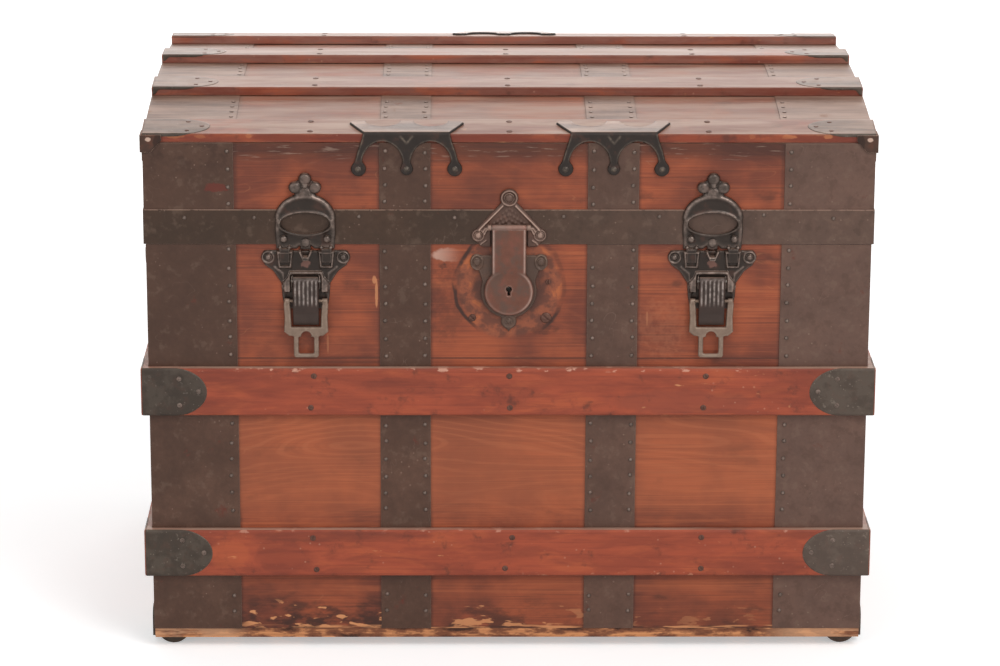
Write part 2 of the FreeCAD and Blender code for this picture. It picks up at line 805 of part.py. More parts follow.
# ---------------------------------------------------------------------------------------------
# Lid
# ---------------------------------------------------------------------------------------------
def make_lid_boards():
    front = Piece("lid_front_board")
    front.pad("YZ", "-lid_half_length", "2 * lid_half_length",
              outline(("-half_depth", "lid_bottom"), ("-inner_half_depth", "lid_bottom"),
                      ("-inner_half_depth", crown_height("under_radius", "inner_half_depth")),
                      ("-half_depth", crown_height("under_radius", "half_depth"))))
    node(front.body, "lid_front_board")
    node(mirror(front.body, "y"), "lid_back_board")

    end = Piece("lid_end_board_right")
    end.pad("YZ", "lid_half_length - board_thickness", "board_thickness",
            outline(("-inner_half_depth", "lid_bottom"), ("inner_half_depth", "lid_bottom"),
                    ("inner_half_depth", crown_height("under_radius", "inner_half_depth"),
                     "out", crown_rise_over("under_radius", "inner_half_depth")),
                    ("-inner_half_depth", crown_height("under_radius", "inner_half_depth"))))
    node(end.body, "lid_end_board_right")
    node(mirror(end.body, "x"), "lid_end_board_left")

    top = Piece("lid_top_panel")
    top.pad("YZ", "-lid_half_length", "2 * lid_half_length",
            arched_strip("under_radius", "half_depth", "crown_radius", "half_depth"))
    node(top.body, "lid_top_panel")


def arched_strip(low_radius, low_half, high_radius, high_half):
    """The strip between two arcs about the crown's centre, each with its own half width."""
    low = crown_height(low_radius, low_half)
    high = crown_height(high_radius, high_half)
    return outline((f"-({low_half})", low, "in", crown_rise_over(low_radius, low_half)),
                   (low_half, low),
                   (high_half, high, "out", crown_rise_over(high_radius, high_half)),
                   (f"-({high_half})", high))


def make_lid_lining():
    """Lining paper under the crown and on the lid's four walls."""
    inside = "(lid_half_length - board_thickness - lining_thickness)"
    lining = Piece("lid_lining")
    lining.pad("YZ", f"-{inside} - lining_thickness", f"2 * ({inside} + lining_thickness)",
               vault("under_radius - lining_clearance", "inner_half_depth", "lid_bottom"))
    lining.pocket("YZ", f"-{inside}", f"2 * {inside}",
                  vault("under_radius - lining_clearance - lining_thickness",
                        "inner_half_depth - lining_thickness", "lid_bottom - lining_thickness"))
    node(lining.body, "lid_lining")


def vault(radius, half, bottom):
    """A room with a flat floor, two walls and the crown's arc over it."""
    wall = crown_height(radius, half)
    return outline((f"-({half})", bottom), (half, bottom),
                   (half, wall, "out", crown_rise_over(radius, half)), (f"-({half})", wall))


def make_lid_metal():
    # bands up the front, over the crown and down the back
    half = "(half_depth + sheet_metal)"
    band = Piece("lid_band_right")
    band.pad("YZ", "band_offset - band_width / 2", "band_width",
             outline((f"-{half}", "lid_bottom"), ("-half_depth", "lid_bottom"),
                     ("-half_depth", "lid_edge_height", "in", crown_rise_over("crown_radius", "half_depth")),
                     ("half_depth", "lid_edge_height"),
                     ("half_depth", "lid_bottom"), (half, "lid_bottom"),
                     (half, crown_height("metal_radius", half), "out",
                      crown_rise_over("metal_radius", half)),
                     (f"-{half}", crown_height("metal_radius", half))))
    node(group("lid_bands", [band.body, mirror(band.body, "x")]), "lid_bands")

    # corner plates, whose legs on the ends follow the crown
    end_face = "lid_half_length"
    plate = Piece("lid_corner_plate_front")
    plate.pad("XZ", "half_depth", "sheet_metal",
              rectangle(f"{end_face} - corner_leg", "lid_bottom", end_face, "lid_edge_height"))
    inner = "half_depth - corner_leg"
    plate.pad("YZ", end_face, "sheet_metal",
              outline((f"-{half}", "lid_bottom"), (f"-({inner})", "lid_bottom"),
                      (f"-({inner})", crown_height("crown_radius", inner)),
                      (f"-{half}", crown_height("crown_radius", half))))
    node(group("lid_corner_plates", four_corners(plate.body)), "lid_corner_plates")

    # strips over the crown at both ends, folded down over the end faces
    strip = Piece("lid_end_cover_right")
    strip.pad("YZ", f"{end_face} - corner_leg", "corner_leg + 2 * sheet_metal",
              arched_strip("crown_radius", "half_depth", "metal_radius", "half_depth"))
    strip.pad("YZ", f"{end_face} + sheet_metal", "sheet_metal",
              arched_strip("crown_radius - skirt_drop", "half_depth", "metal_radius", "half_depth"))
    node(group("lid_end_covers", [strip.body, mirror(strip.body, "x")]), "lid_end_covers")

    # the rim band runs round the lid's four faces, over the bands and the corner plates
    rim_top = "lid_bottom + rim_band_height"
    whole = slab("rim_outside", "-lid_half_length - 2 * sheet_metal", "lid_half_length + 2 * sheet_metal",
                 "-half_depth - 2 * sheet_metal", "half_depth + 2 * sheet_metal", "lid_bottom", rim_top)
    room = slab("rim_inside", "-lid_half_length - sheet_metal", "lid_half_length + sheet_metal",
                "-half_depth - sheet_metal", "half_depth + sheet_metal",
                "lid_bottom - sheet_metal", "lid_edge_height")
    node(cut("lid_rim_band", whole, room), "lid_rim_band")


# The four lid slats and how far each stands back from the middle, in steps of a third of the span
LID_SLATS = (("front", "-1"), ("second", "-1 / 3"), ("third", "1 / 3"), ("back", "1"))


def lean(thing, share):
    """Stand a piece on the crown, as far back as the share of the outer slats' place."""
    back = f"({share} * (half_depth - lid_slat_width / 2))"
    thing.Placement.Rotation = FreeCAD.Rotation(AXES["x"], 1)
    thing.setExpression("Placement.Rotation.Angle", formula(f"-asin({back} / metal_radius)"))
    place(thing, "0", back, crown_height("metal_radius", back))


def lid_clamp(name, share, way):
    """A sheet clamp over a lid slat's end, with a rounded tip on top and a flap over the end."""
    clamp = Piece(name)
    half = "(lid_slat_width / 2 - lid_clamp_margin)"
    end = "(lid_slat_half + lid_clamp_thickness)"
    tip = f"({end} - lid_clamp_length)"
    bow = ("out", "lid_clamp_tip_bow")
    corners = ((end, f"-{half}"), (end, half), (f"{tip} + lid_clamp_tip", half, *bow),
               (tip, "0", *bow), (f"{tip} + lid_clamp_tip", f"-{half}"))
    clamp.pad("XY", "lid_slat_thickness", "lid_clamp_thickness",
              outline(*[(f"{way} * ({across})", f"{way} * ({up})", *arc) for across, up, *arc in corners]))
    clamp.pad("YZ", f"{way} * ({end} - lid_clamp_thickness / 2) - lid_clamp_thickness / 2",
              "lid_clamp_thickness",
              rectangle(f"-{half}", "-lid_clamp_drop", half, "lid_slat_thickness + lid_clamp_thickness"))
    lean(clamp.body, share)
    return clamp.body


def make_lid_slats():
    clamps = []
    for name, share in LID_SLATS:
        slat = Piece("lid_slat_" + name)
        slat.pad("YZ", "-lid_slat_half", "2 * lid_slat_half",
                 rectangle("-lid_slat_width / 2", "0", "lid_slat_width / 2", "lid_slat_thickness"))
        slat.fillet("lid_slat_edge", "x", lambda middle: middle.z > value("lid_slat_thickness") - 0.1)
        lean(slat.body, share)
        node(slat.body, "lid_slat_" + name)
        for way in ("-1", "1"):
            clamps.append(lid_clamp(f"lid_clamp_{name}", share, way))
    node(group("lid_slat_clamps", clamps), "lid_slat_clamps")


def make_corner_caps():
    """Small caps bent round the lid's top corners, each with a slanting lower edge."""
    cap = Piece("corner_cap")
    face = "(over_rim + cap_clearance)"
    end = "(lid_slat_half + lid_clamp_thickness + cap_clearance)"
    high = "lid_edge_height + lid_slat_thickness"
    low = f"{high} - cap_height"
    corner = f"({end} + cap_thickness)"
    cap.pad("XZ", face, "cap_thickness",
            outline((f"{corner} - cap_width / 2", low), (corner, low), (corner, high),
                    (f"{corner} - cap_width", high), (f"{corner} - cap_width", f"{high} - cap_height / 3")))
    outer = f"({face} + cap_thickness)"
    cap.pad("YZ", end, "cap_thickness",
            outline((f"-{outer}", low), (f"-{outer} + cap_width / 2", low),
                    (f"-{outer} + cap_width", f"{high} - cap_height / 3"),
                    (f"-{outer} + cap_width", high), (f"-{outer}", high)))
    node(group("lid_corner_caps", four_corners(cap.body)), "lid_corner_caps")


def bracket(name, across):
    """A three-pronged bracket bent over the front slat's upper edge."""
    middle = "(lid_slat_width / 2 - half_depth)"
    tilt = f"asin(-{middle} / metal_radius)"
    edge_y = f"({middle} - lid_slat_width / 2 * cos({tilt}) - lid_slat_thickness * sin({tilt}))"
    edge_z = (f"({crown_height('metal_radius', middle)} - lid_slat_width / 2 * sin({tilt})"
              f" + lid_slat_thickness * cos({tilt}))")
    front = Piece(name + "_front_leg", across)
    add_prongs(front, "XZ", f"-{edge_y} + bracket_clearance", "-1", f"({edge_z} + bracket_thickness)",
               "bracket_front_reach")
    upper = Piece(name + "_top_leg", across)
    add_prongs(upper, "XY", "lid_slat_thickness", "1",
               "(-lid_slat_width / 2 - bracket_clearance - bracket_thickness)", "bracket_top_reach")
    lean(upper.body, "-1")
    return fuse(name, [front.body, upper.body])


def add_prongs(leg, plane, level, way, bend, reach):
    """Three prongs that leave the bend one way, an arch between each pair, and their round feet."""
    wide = "bracket_prong_spacing + bracket_prong_half_width"
    near = "bracket_prong_spacing - bracket_prong_half_width"
    slim = "bracket_prong_half_width"
    foot = f"({bend} + {way} * {reach})"
    arch = ("in", f"({reach} - bracket_web)")
    corners = (("bracket_half_bend", bend), (wide, foot), (near, foot, *arch), (slim, foot),
               (f"-{slim}", foot, *arch), (f"-({near})", foot), (f"-({wide})", foot),
               ("-bracket_half_bend", bend))
    leg.pad(plane, level, "bracket_thickness",
            outline(*[(f"{way} * ({across})", up, *arc) for across, up, *arc in corners]))
    feet = [disc(across, foot, "bracket_foot_radius")
            for across in ("-bracket_prong_spacing", "0", "bracket_prong_spacing")]
    leg.pad(plane, level, "bracket_thickness", *feet)


def make_brackets():
    brackets = [bracket("bracket_left", "-band_offset"), bracket("bracket_right", "band_offset"),
                mirror(bracket("bracket_rear", "0"), "y")]
    node(group("lid_brackets", brackets), "lid_brackets")


# ---------------------------------------------------------------------------------------------
# Strap hinges at the back
# ---------------------------------------------------------------------------------------------
def hinge_leaf(name, across, level, up, way, knuckles):
    """A leaf flat on the back, from near the axis one way, with webs out to its own knuckles.

    level is the plane that the leaf lies on, way is "1" for the leaf that goes up from the axis,
    and each knuckle is (left, right) beside the hinge's middle.
    """
    leaf = Piece(name, across)
    near = f"({up} + {way} * (hinge_barrel_radius + 2 * hinge_knuckle_gap))"
    far = f"({up} + {way} * hinge_leaf_length)"
    low, high = (near, far) if way == "1" else (far, near)
    leaf.pad("XZ", f"-({level} + hinge_leaf_thickness)", "hinge_leaf_thickness",
             rectangle("-hinge_width / 2", low, "hinge_width / 2", high))
    tip = value(far)
    leaf.fillet("hinge_leaf_round", "y", lambda middle: abs(middle.z - tip) < 0.1)
    low, high = (up, f"{near} + hinge_leaf_thickness") if way == "1" else (
        f"{near} - hinge_leaf_thickness", up)
    for left, right in knuckles:
        length = f"({right}) - ({left})"
        leaf.pad("YZ", left, length, rectangle(level, low, "hinge_axis_y", high))
        leaf.pad("YZ", left, length, disc("hinge_axis_y", up, "hinge_barrel_radius"))
        leaf.pocket("YZ", f"{left} - hinge_knuckle_gap", f"{length} + 2 * hinge_knuckle_gap",
                    disc("hinge_axis_y", up, "hinge_pin_radius + hinge_pin_clearance"))
    return leaf.body


def make_hinges():
    body_leaves = []
    lid_leaves = []
    pins = []
    outer = "(hinge_knuckle_half + hinge_knuckle_gap)"
    side_knuckles = (("-hinge_width / 2", f"-{outer}"), (outer, "hinge_width / 2"))
    for number, across in enumerate(("-hinge_offset", "0", "hinge_offset"), start=1):
        body_leaves.append(hinge_leaf(f"hinge_body_leaf_{number}", across, "half_depth",
                                      "hinge_axis_z", "-1", side_knuckles))
        lid_leaves.append(hinge_leaf(f"hinge_lid_leaf_{number}", across, "over_rim", "hinge_axis_z",
                                     "1", (("-hinge_knuckle_half", "hinge_knuckle_half"),)))
        pins.append(rod(f"hinge_pin_{number}", "hinge_pin_radius", f"{across} - hinge_width / 2",
                        f"{across} + hinge_width / 2", "hinge_axis_y", "hinge_axis_z"))
    node(group("hinge_body_leaves", body_leaves), "hinge_body_leaves")
    node(group("hinge_lid_leaves", lid_leaves), "hinge_lid_leaves")
    node(group("hinge_pins", pins), "hinge_pins")


# ---------------------------------------------------------------------------------------------
# Lift-out tray and the cleats that it rests on
# ---------------------------------------------------------------------------------------------
def make_tray():
    cleats = []
    for side, left, right in (
            ("left", "-inner_half_length + lining_thickness",
             "-inner_half_length + lining_thickness + cleat_thickness"),
            ("right", "inner_half_length - lining_thickness - cleat_thickness",
             "inner_half_length - lining_thickness")):
        cleats.append(slab("tray_cleat_" + side, left, right, "-inner_half_depth + lining_thickness",
                           "inner_half_depth - lining_thickness", "cleat_top - cleat_height", "cleat_top"))
    node(group("tray_cleats", cleats), "tray_cleats")

    top = "(tray_bottom + tray_height)"
    frame = Piece("tray_frame")
    frame.pad("XY", "tray_bottom", "tray_height",
              rectangle("-tray_half_length", "-tray_half_depth", "tray_half_length", "tray_half_depth"),
              rectangle("-(tray_half_length - tray_board)", "-(tray_half_depth - tray_board)",
                        "tray_half_length - tray_board", "tray_half_depth - tray_board"))
    node(frame.body, "tray_frame")

    inside_x = "(tray_half_length - tray_board)"
    inside_y = "(tray_half_depth - tray_board)"
    floor = slab("tray_floor", f"-{inside_x}", inside_x, f"-{inside_y}", inside_y, "tray_bottom",
                 "tray_bottom + tray_floor_thickness")
    node(floor, "tray_floor")
    partition = slab("tray_partition", "tray_partition_offset",
                     "tray_partition_offset + tray_board", f"-{inside_y}", inside_y,
                     "tray_bottom + tray_floor_thickness", f"{top} - tray_board")
    node(partition, "tray_partition")
    tabs = []
    for side, left, right in (("left", f"-{inside_x}", f"-{inside_x} + tab_thickness"),
                              ("right", f"{inside_x} - tab_thickness", inside_x)):
        tabs.append(slab("tray_tab_" + side, left, right, "-tab_width / 2", "tab_width / 2",
                         f"{top} - tab_length", top))
    node(group("tray_lift_tabs", tabs), "tray_lift_tabs")


# ---------------------------------------------------------------------------------------------
# Draw latches: a base and a lever on the body, a bail on the lever and a keeper on the lid
# ---------------------------------------------------------------------------------------------
def latch_base(side, across):
    base = Piece("latch_base_" + side, across)
    level = "half_depth"
    plate = "(half_depth + latch_plate_thickness)"
    base.pad("XZ", level, "latch_plate_thickness",
             symmetric(("latch_plate_half_width - latch_foot_taper", "latch_plate_bottom"),
                       ("latch_plate_half_width", "lever_pivot_height"),
                       ("latch_ear_spacing", "latch_ear_height - latch_ear_radius"),
                       ("latch_ear_spacing", "socket_top"),
                       bottom=("out", "latch_foot_bow")))
    for centre in ("-latch_ear_spacing", "latch_ear_spacing"):
        base.pad("XZ", level, "latch_plate_thickness",
                 disc(centre, "latch_ear_height", "latch_ear_radius"))

    # sockets that the keeper's dowels drop into, open at the top
    block = [("socket_inner", "socket_outer"), ("-socket_outer", "-socket_inner")]
    base.pad("XZ", plate, "socket_depth",
             *[rectangle(left, "socket_bottom", right, "socket_top") for left, right in block])
    room_front = f"-({plate} + socket_depth - socket_wall)"
    room_back = f"-({plate} + socket_back_wall)"
    base.pocket("XY", "socket_bottom + socket_wall", "socket_top - socket_bottom",
                *[rectangle(f"{left} + socket_wall", room_front, f"{right} - socket_wall", room_back)
                  for left, right in block])

    # lugs that hold the lever's pin, on both sides of its neck
    for left in ("lug_inner_half", "-lug_outer_half"):
        base.pad("YZ", left, "lever_lug_thickness",
                 rectangle("lever_axis_y", "lever_pivot_height - lever_lug_radius",
                           "-half_depth - latch_plate_thickness / 2",
                           "lever_pivot_height + lever_lug_radius"))
        base.pad("YZ", left, "lever_lug_thickness",
                 disc("lever_axis_y", "lever_pivot_height", "lever_lug_radius"))
    base.pocket("YZ", "-lug_outer_half - lever_side_gap", "2 * (lug_outer_half + lever_side_gap)",
                disc("lever_axis_y", "lever_pivot_height", "lever_pin_radius"))
    return base.body


def latch_lever(side, across):
    """The thumb lever: a tongue with a knuckle at its top and ribs down its bulging front."""
    lever = Piece("latch_lever_" + side, across)
    back = "-(half_depth + lever_back_out)"
    tab = ("-(half_depth + lever_tab_out)", "lever_tab_height")
    brow = ("lever_axis_y - lever_knuckle_radius * cos(30)",
            "lever_pivot_height + lever_knuckle_radius / 2")
    lever.pad("YZ", "-lever_half_width", "2 * lever_half_width",
              outline(("-(half_depth + lever_tip_out)", "lever_tip_height"),
                      (back, "lever_tip_height"),
                      (back, "lever_pivot_height - lever_knuckle_radius / 2"),
                      ("lever_axis_y", "lever_pivot_height"),
                      (*brow, "out", "lever_bulge"),
                      tab))
    lever.pad("YZ", "-lever_half_width", "2 * lever_half_width",
              disc("lever_axis_y", "lever_pivot_height", "lever_knuckle_radius"))
    rib = lever.pad("YZ", "-(rib_count - 1) / 2 * rib_pitch - rib_width / 2", "rib_width",
                    outline((*tab, "in", "lever_bulge - rib_height / 2"),
                            (*brow, "out", "lever_bulge + rib_height")))
    lever.repeat(rib, "rib_pitch", "rib_count")
    for centre, up, radius in (
            ("lever_axis_y", "lever_pivot_height", "lever_pin_radius + lever_pin_clearance"),
            ("bail_axis_y", "bail_pivot_height", "bail_pin_radius + lever_pin_clearance")):
        lever.pocket("YZ", "-lug_outer_half", "2 * lug_outer_half", disc(centre, up, radius))
    return lever.body


def latch_bail(side, across):
    """The bail: two arms, a cross bar and a square ring, with a stub on each arm for its pivot."""
    bail = Piece("latch_bail_" + side, across)
    level = "half_depth + bail_pivot_out - bail_thickness / 2"
    top = "bail_pivot_height + bail_thickness"
    corner = "(bail_half_width - bail_inner_half)"
    bail.pad("XZ", level, "bail_thickness",
             symmetric(("bail_ring_half_width", "bail_ring_bottom"),
                       ("bail_ring_half_width", "bail_bar_bottom"),
                       (f"bail_half_width - {corner}", "bail_bar_bottom"),
                       ("bail_half_width", f"bail_bar_bottom + {corner}"),
                       ("bail_half_width", top),
                       ("bail_inner_half", top),
                       ("bail_inner_half", "bail_bar_top")),
             rectangle("bail_ring_wall - bail_ring_half_width", "bail_ring_bottom + bail_ring_wall",
                       "bail_ring_half_width - bail_ring_wall", "bail_bar_bottom"))
    for left in ("bail_inner_half - bail_pin_length", "-bail_half_width"):
        bail.pad("YZ", left, "bail_half_width - bail_inner_half + bail_pin_length",
                 disc("bail_axis_y", "bail_pivot_height", "bail_pin_radius"))
    return bail.body


def latch_keeper(side, across):
    """The keeper on the lid: an arched plate with an oval window, dowels, a hook and a finial."""
    keeper = Piece("latch_keeper_" + side, across)
    level = "over_rim"
    plate = "(over_rim + latch_plate_thickness)"
    window = [("keeper_window_half_length", "keeper_window_height", "out", "keeper_window_rise"),
              ("-keeper_window_half_length", "keeper_window_height", "out", "keeper_window_rise")]
    keeper.pad("XZ", level, "latch_plate_thickness",
               symmetric(("keeper_half_width", "keeper_bottom"),
                         ("keeper_half_width", "keeper_shoulder", "out", "keeper_crown")),
               outline(*window))
    half = "keeper_window_half_length + keeper_rim_width"
    rise = "keeper_window_rise + keeper_rim_width"
    keeper.pad("XZ", plate, "keeper_rim_height",
               outline((half, "keeper_window_height", "out", rise),
                       (f"-({half})", "keeper_window_height", "out", rise)),
               outline(*window))
    neck = "finial_neck_half_width"
    keeper.pad("XZ", level, "latch_plate_thickness",
               rectangle(f"-{neck}", "keeper_shoulder + keeper_crown / 2", neck, "finial_height"))
    for across_lobe, up in (("-finial_lobe_spacing", "finial_height"), ("0", "finial_height"),
                            ("finial_lobe_spacing", "finial_height"),
                            ("0", "finial_height + finial_top_rise")):
        keeper.pad("XZ", level, "latch_plate_thickness",
                   disc(across_lobe, up, "finial_lobe_radius"))

    # dowels that drop into the base's sockets
    back = "(half_depth + latch_plate_thickness + socket_back_wall + dowel_clearance)"
    depth = ("socket_depth - socket_wall - socket_back_wall - dowel_clearance"
             " - dowel_front_clearance")
    side_gap = "socket_wall + dowel_clearance"
    for left, right in (("socket_inner", "socket_outer"), ("-socket_outer", "-socket_inner")):
        keeper.pad("XZ", back, depth,
                   rectangle(f"{left} + {side_gap}", f"socket_bottom + {side_gap} + dowel_clearance",
                             f"{right} - ({side_gap})", "keeper_bottom + dowel_root"))

    # hook that the bail's ring drops over, open at its top
    inner = f"-({plate} - hook_back_overlap)"
    root = f"-({plate} + hook_root)"
    lip_back = f"-({plate} + hook_reach - hook_lip)"
    lip_front = f"-({plate} + hook_reach)"
    keeper.pad("YZ", "-hook_half_width", "2 * hook_half_width",
               outline((f"{lip_front} + hook_lip", "hook_bottom"), (inner, "hook_bottom"),
                       (inner, "hook_root_top"), (root, "hook_root_top"), (root, "hook_mouth"),
                       (lip_back, "hook_mouth"), (lip_back, "hook_top"), (lip_front, "hook_top"),
                       (lip_front, "hook_bottom + hook_lip")))
    return keeper.body


def make_latches():
    pins = []
    for side, across in (("left", "-latch_offset"), ("right", "latch_offset")):
        node(latch_base(side, across), "latch_base_" + side)
        node(latch_lever(side, across), "latch_lever_" + side)
        node(latch_bail(side, across), "latch_bail_" + side)
        node(latch_keeper(side, across), "latch_keeper_" + side)
        pins.append(rod("latch_pin_" + side, "lever_pin_radius", f"{across} - lug_outer_half",
                        f"{across} + lug_outer_half", "lever_axis_y", "lever_pivot_height"))
    node(group("latch_pins", pins), "latch_pins")


# ---------------------------------------------------------------------------------------------
# Lock: a hinged hasp on the lid, and a plate, a case and a bolt in the body
# ---------------------------------------------------------------------------------------------
def keyhole():
    """A round eye with a slot below it, as one closed line."""
    slot = "keyhole_half_slot"
    meet = f"keyhole_height - sqrt(keyhole_radius^2 - {slot}^2)"
    rise = f"keyhole_radius + sqrt(keyhole_radius^2 - {slot}^2)"
    return outline((f"-{slot}", "keyhole_height - keyhole_drop"),
                   (slot, "keyhole_height - keyhole_drop"),
                   (slot, meet, "out", rise),
                   (f"-{slot}", meet))


def make_hasp():
    hasp = Piece("hasp")
    hasp.pad("XZ", "hasp_tongue_back", "hasp_thickness",
             rectangle("-hasp_half_width", "hasp_disc_height", "hasp_half_width",
                       "hasp_axis_height"))
    hasp.pad("XZ", "hasp_back", "hasp_disc_thickness",
             disc("0", "hasp_disc_height", "hasp_disc_radius"))
    hasp.pad("YZ", "-hasp_half_width", "2 * hasp_half_width",
             disc("-(half_depth + hasp_axis_out)", "hasp_axis_height", "hasp_barrel_radius"))
    hasp.pocket("YZ", "-hasp_half_width - hasp_knuckle_gap", "2 * (hasp_half_width + hasp_knuckle_gap)",
                disc("-(half_depth + hasp_axis_out)", "hasp_axis_height",
                     "hasp_pin_radius + hasp_pin_clearance"))
    hasp.pocket("XZ", "hasp_back - hasp_back_gap", "hasp_disc_thickness + 2 * hasp_back_gap", keyhole())
    hasp.pad("YZ", "-staple_half_width", "2 * staple_half_width",
             rectangle("-(hasp_back + staple_wall)", "staple_bottom", "staple_depth - half_depth",
                       "staple_bottom + staple_height"),
             rectangle("-eye_outer", "eye_bottom", "-eye_inner", "eye_top"))
    node(hasp.body, "hasp")

    plate = Piece("hasp_plate")
    level = "over_rim"
    face = "(over_rim + hasp_plate_thickness)"
    plate.pad("XZ", level, "hasp_plate_thickness",
              symmetric(("hasp_lobe_spacing", "hasp_plate_bottom"),
                        ("hasp_lobe_spacing + hasp_lobe_radius / 2",
                         "hasp_lobe_height + hasp_lobe_radius / 2"),
                        ("hasp_boss_radius / 2", "hasp_boss_height")))
    for across, up, radius in (("0", "hasp_boss_height", "hasp_boss_radius"),
                               ("-hasp_lobe_spacing", "hasp_lobe_height", "hasp_lobe_radius"),
                               ("hasp_lobe_spacing", "hasp_lobe_height", "hasp_lobe_radius")):
        plate.pad("XZ", level, "hasp_plate_thickness", disc(across, up, radius))
    inner = "(hasp_half_width + hasp_knuckle_gap)"
    axis_y = "-(half_depth + hasp_axis_out)"
    for left in (inner, f"-{inner} - hasp_knuckle_length"):
        plate.pad("YZ", left, "hasp_knuckle_length",
                  rectangle(axis_y, "hasp_axis_height - hasp_barrel_radius",
                            f"-{face} + hasp_plate_thickness / 2",
                            "hasp_axis_height + hasp_barrel_radius"))
        plate.pad("YZ", left, "hasp_knuckle_length",
                  disc(axis_y, "hasp_axis_height", "hasp_barrel_radius"))
        plate.pocket("YZ", f"{left} - hasp_knuckle_gap", "hasp_knuckle_length + 2 * hasp_knuckle_gap",
                     disc(axis_y, "hasp_axis_height", "hasp_pin_radius"))
    node(plate.body, "hasp_plate")
    reach = f"({inner} + hasp_knuckle_length)"
    node(rod("hasp_pin", "hasp_pin_radius", f"-{reach}", reach, axis_y, "hasp_axis_height"), "hasp_pin")


def make_lock():
    plate = Piece("lock_plate")
    level = "half_depth"
    slot_gap = "lock_slot_half_width"
    plate.pad("XZ", level, "lock_plate_thickness",
              disc("0", "hasp_disc_height", "lock_plate_radius"))
    plate.pad("XZ", level, "lock_plate_thickness",
              symmetric(("lock_plate_radius / 2", "hasp_disc_height"),
                        ("lock_ear_spacing", "lock_ear_height - lock_ear_radius"),
                        ("lock_ear_spacing", "lock_ear_height + lock_ear_radius")))
    for centre in ("-lock_ear_spacing", "lock_ear_spacing"):
        plate.pad("XZ", level, "lock_plate_thickness", disc(centre, "lock_ear_height", "lock_ear_radius"))
    plate.pad("XZ", level, "lock_plate_thickness", disc("0", "lock_lobe_height", "lock_lobe_radius"))
    plate.pad("XZ", level, "lock_plate_thickness",
              outline(("0", "lock_tip_height"), ("lock_tip_half_width", "lock_tip_root"),
                      ("-lock_tip_half_width", "lock_tip_root")))
    plate.pocket("XZ", f"{level} - lock_plate_thickness", "3 * lock_plate_thickness",
                 rectangle(f"-{slot_gap}", "lock_slot_bottom", slot_gap, "joint_height"))
    node(plate.body, "lock_plate")

    case = Piece("lock_case")
    half = "(lock_case_half_width - lock_case_clearance)"
    low = "(lock_case_bottom + lock_case_clearance)"
    high = "(lock_case_top - lock_case_clearance)"
    wall = "lock_case_wall"
    case.pad("XZ", "inner_half_depth", "board_thickness", rectangle(f"-{half}", low, half, high))
    case.pocket("XZ", f"inner_half_depth + {wall}", "board_thickness",
                rectangle(f"{wall} - {half}", f"{low} + {wall}", f"{half} - {wall}", f"{high} - {wall}"))
    case.pocket("XZ", "half_depth - staple_depth - dowel_clearance", "board_thickness",
                rectangle(f"-{slot_gap}", f"{high} - 2 * {wall}", slot_gap, f"{high} + {wall}"))
    # guides above and below the bolt
    start = f"({wall} - {half})"
    gap = "bolt_clearance"
    for bottom, top in ((f"{low} + {wall}", "eye_bottom"), ("eye_top", f"{high} - {wall}")):
        case.pad("XZ", f"inner_half_depth + {wall}", f"board_thickness - 2 * {wall}",
                 rectangle(start, bottom, f"{start} + bolt_guide_length", top))
    node(case.body, "lock_case")

    bolt = slab("lock_bolt", "-bolt_rest - bolt_length", "-bolt_rest", "-eye_outer + bolt_clearance",
                "-eye_inner - bolt_clearance", "eye_bottom + bolt_clearance", "eye_top - bolt_clearance")
    node(bolt, "lock_bolt")


# ---------------------------------------------------------------------------------------------
# Build, check and export
# ---------------------------------------------------------------------------------------------
def check():
    """Stop if any object failed, any sub-part is not a valid solid or any pocket cuts nothing."""
    for thing in doc.Objects:
        if {"Invalid", "Error"} & set(thing.State):
            raise RuntimeError(f"{thing.Name} failed: {thing.State}")
        if thing.TypeId == "PartDesign::Pocket":
            if thing.Shape.Volume >= thing.BaseFeature.Shape.Volume - 1e-6:
                raise RuntimeError(f"{thing.Name} cuts nothing")
    for thing in nodes:
        if thing.Shape.isNull() or not thing.Shape.isValid() or not thing.Shape.Solids:
            raise RuntimeError(f"{thing.Label} is not a valid solid")


def export():
    os.makedirs("parts", exist_ok=True)
    for thing in nodes:
        thing.Shape.exportStep(f"parts/{thing.Label}.step")
        print(thing.Label, len(thing.Shape.Solids), "solid(s)", round(thing.Shape.Volume / 1000, 1), "cm3")


make_body_boards()
make_body_lining()
make_runners()
make_shoes()
make_body_metal()
make_body_slats()
make_handles()
make_lid_boards()
make_lid_lining()
make_lid_metal()
make_lid_slats()
make_corner_caps()
make_brackets()
make_hinges()
make_tray()
make_latches()
make_hasp()
make_lock()
doc.recompute()
check()
export()
print(len(nodes), "nodes")
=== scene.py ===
"""Looks of a slatted, metal-bound travel trunk, laid out as a Blender add-on.

Lengths in this file are millimetres in the trunk's own frame: x along its length, y from front
to back, z up. Meshes are metres, as Blender's are.
"""
import math

import bmesh
import bpy
import numpy as np
from mathutils import Matrix


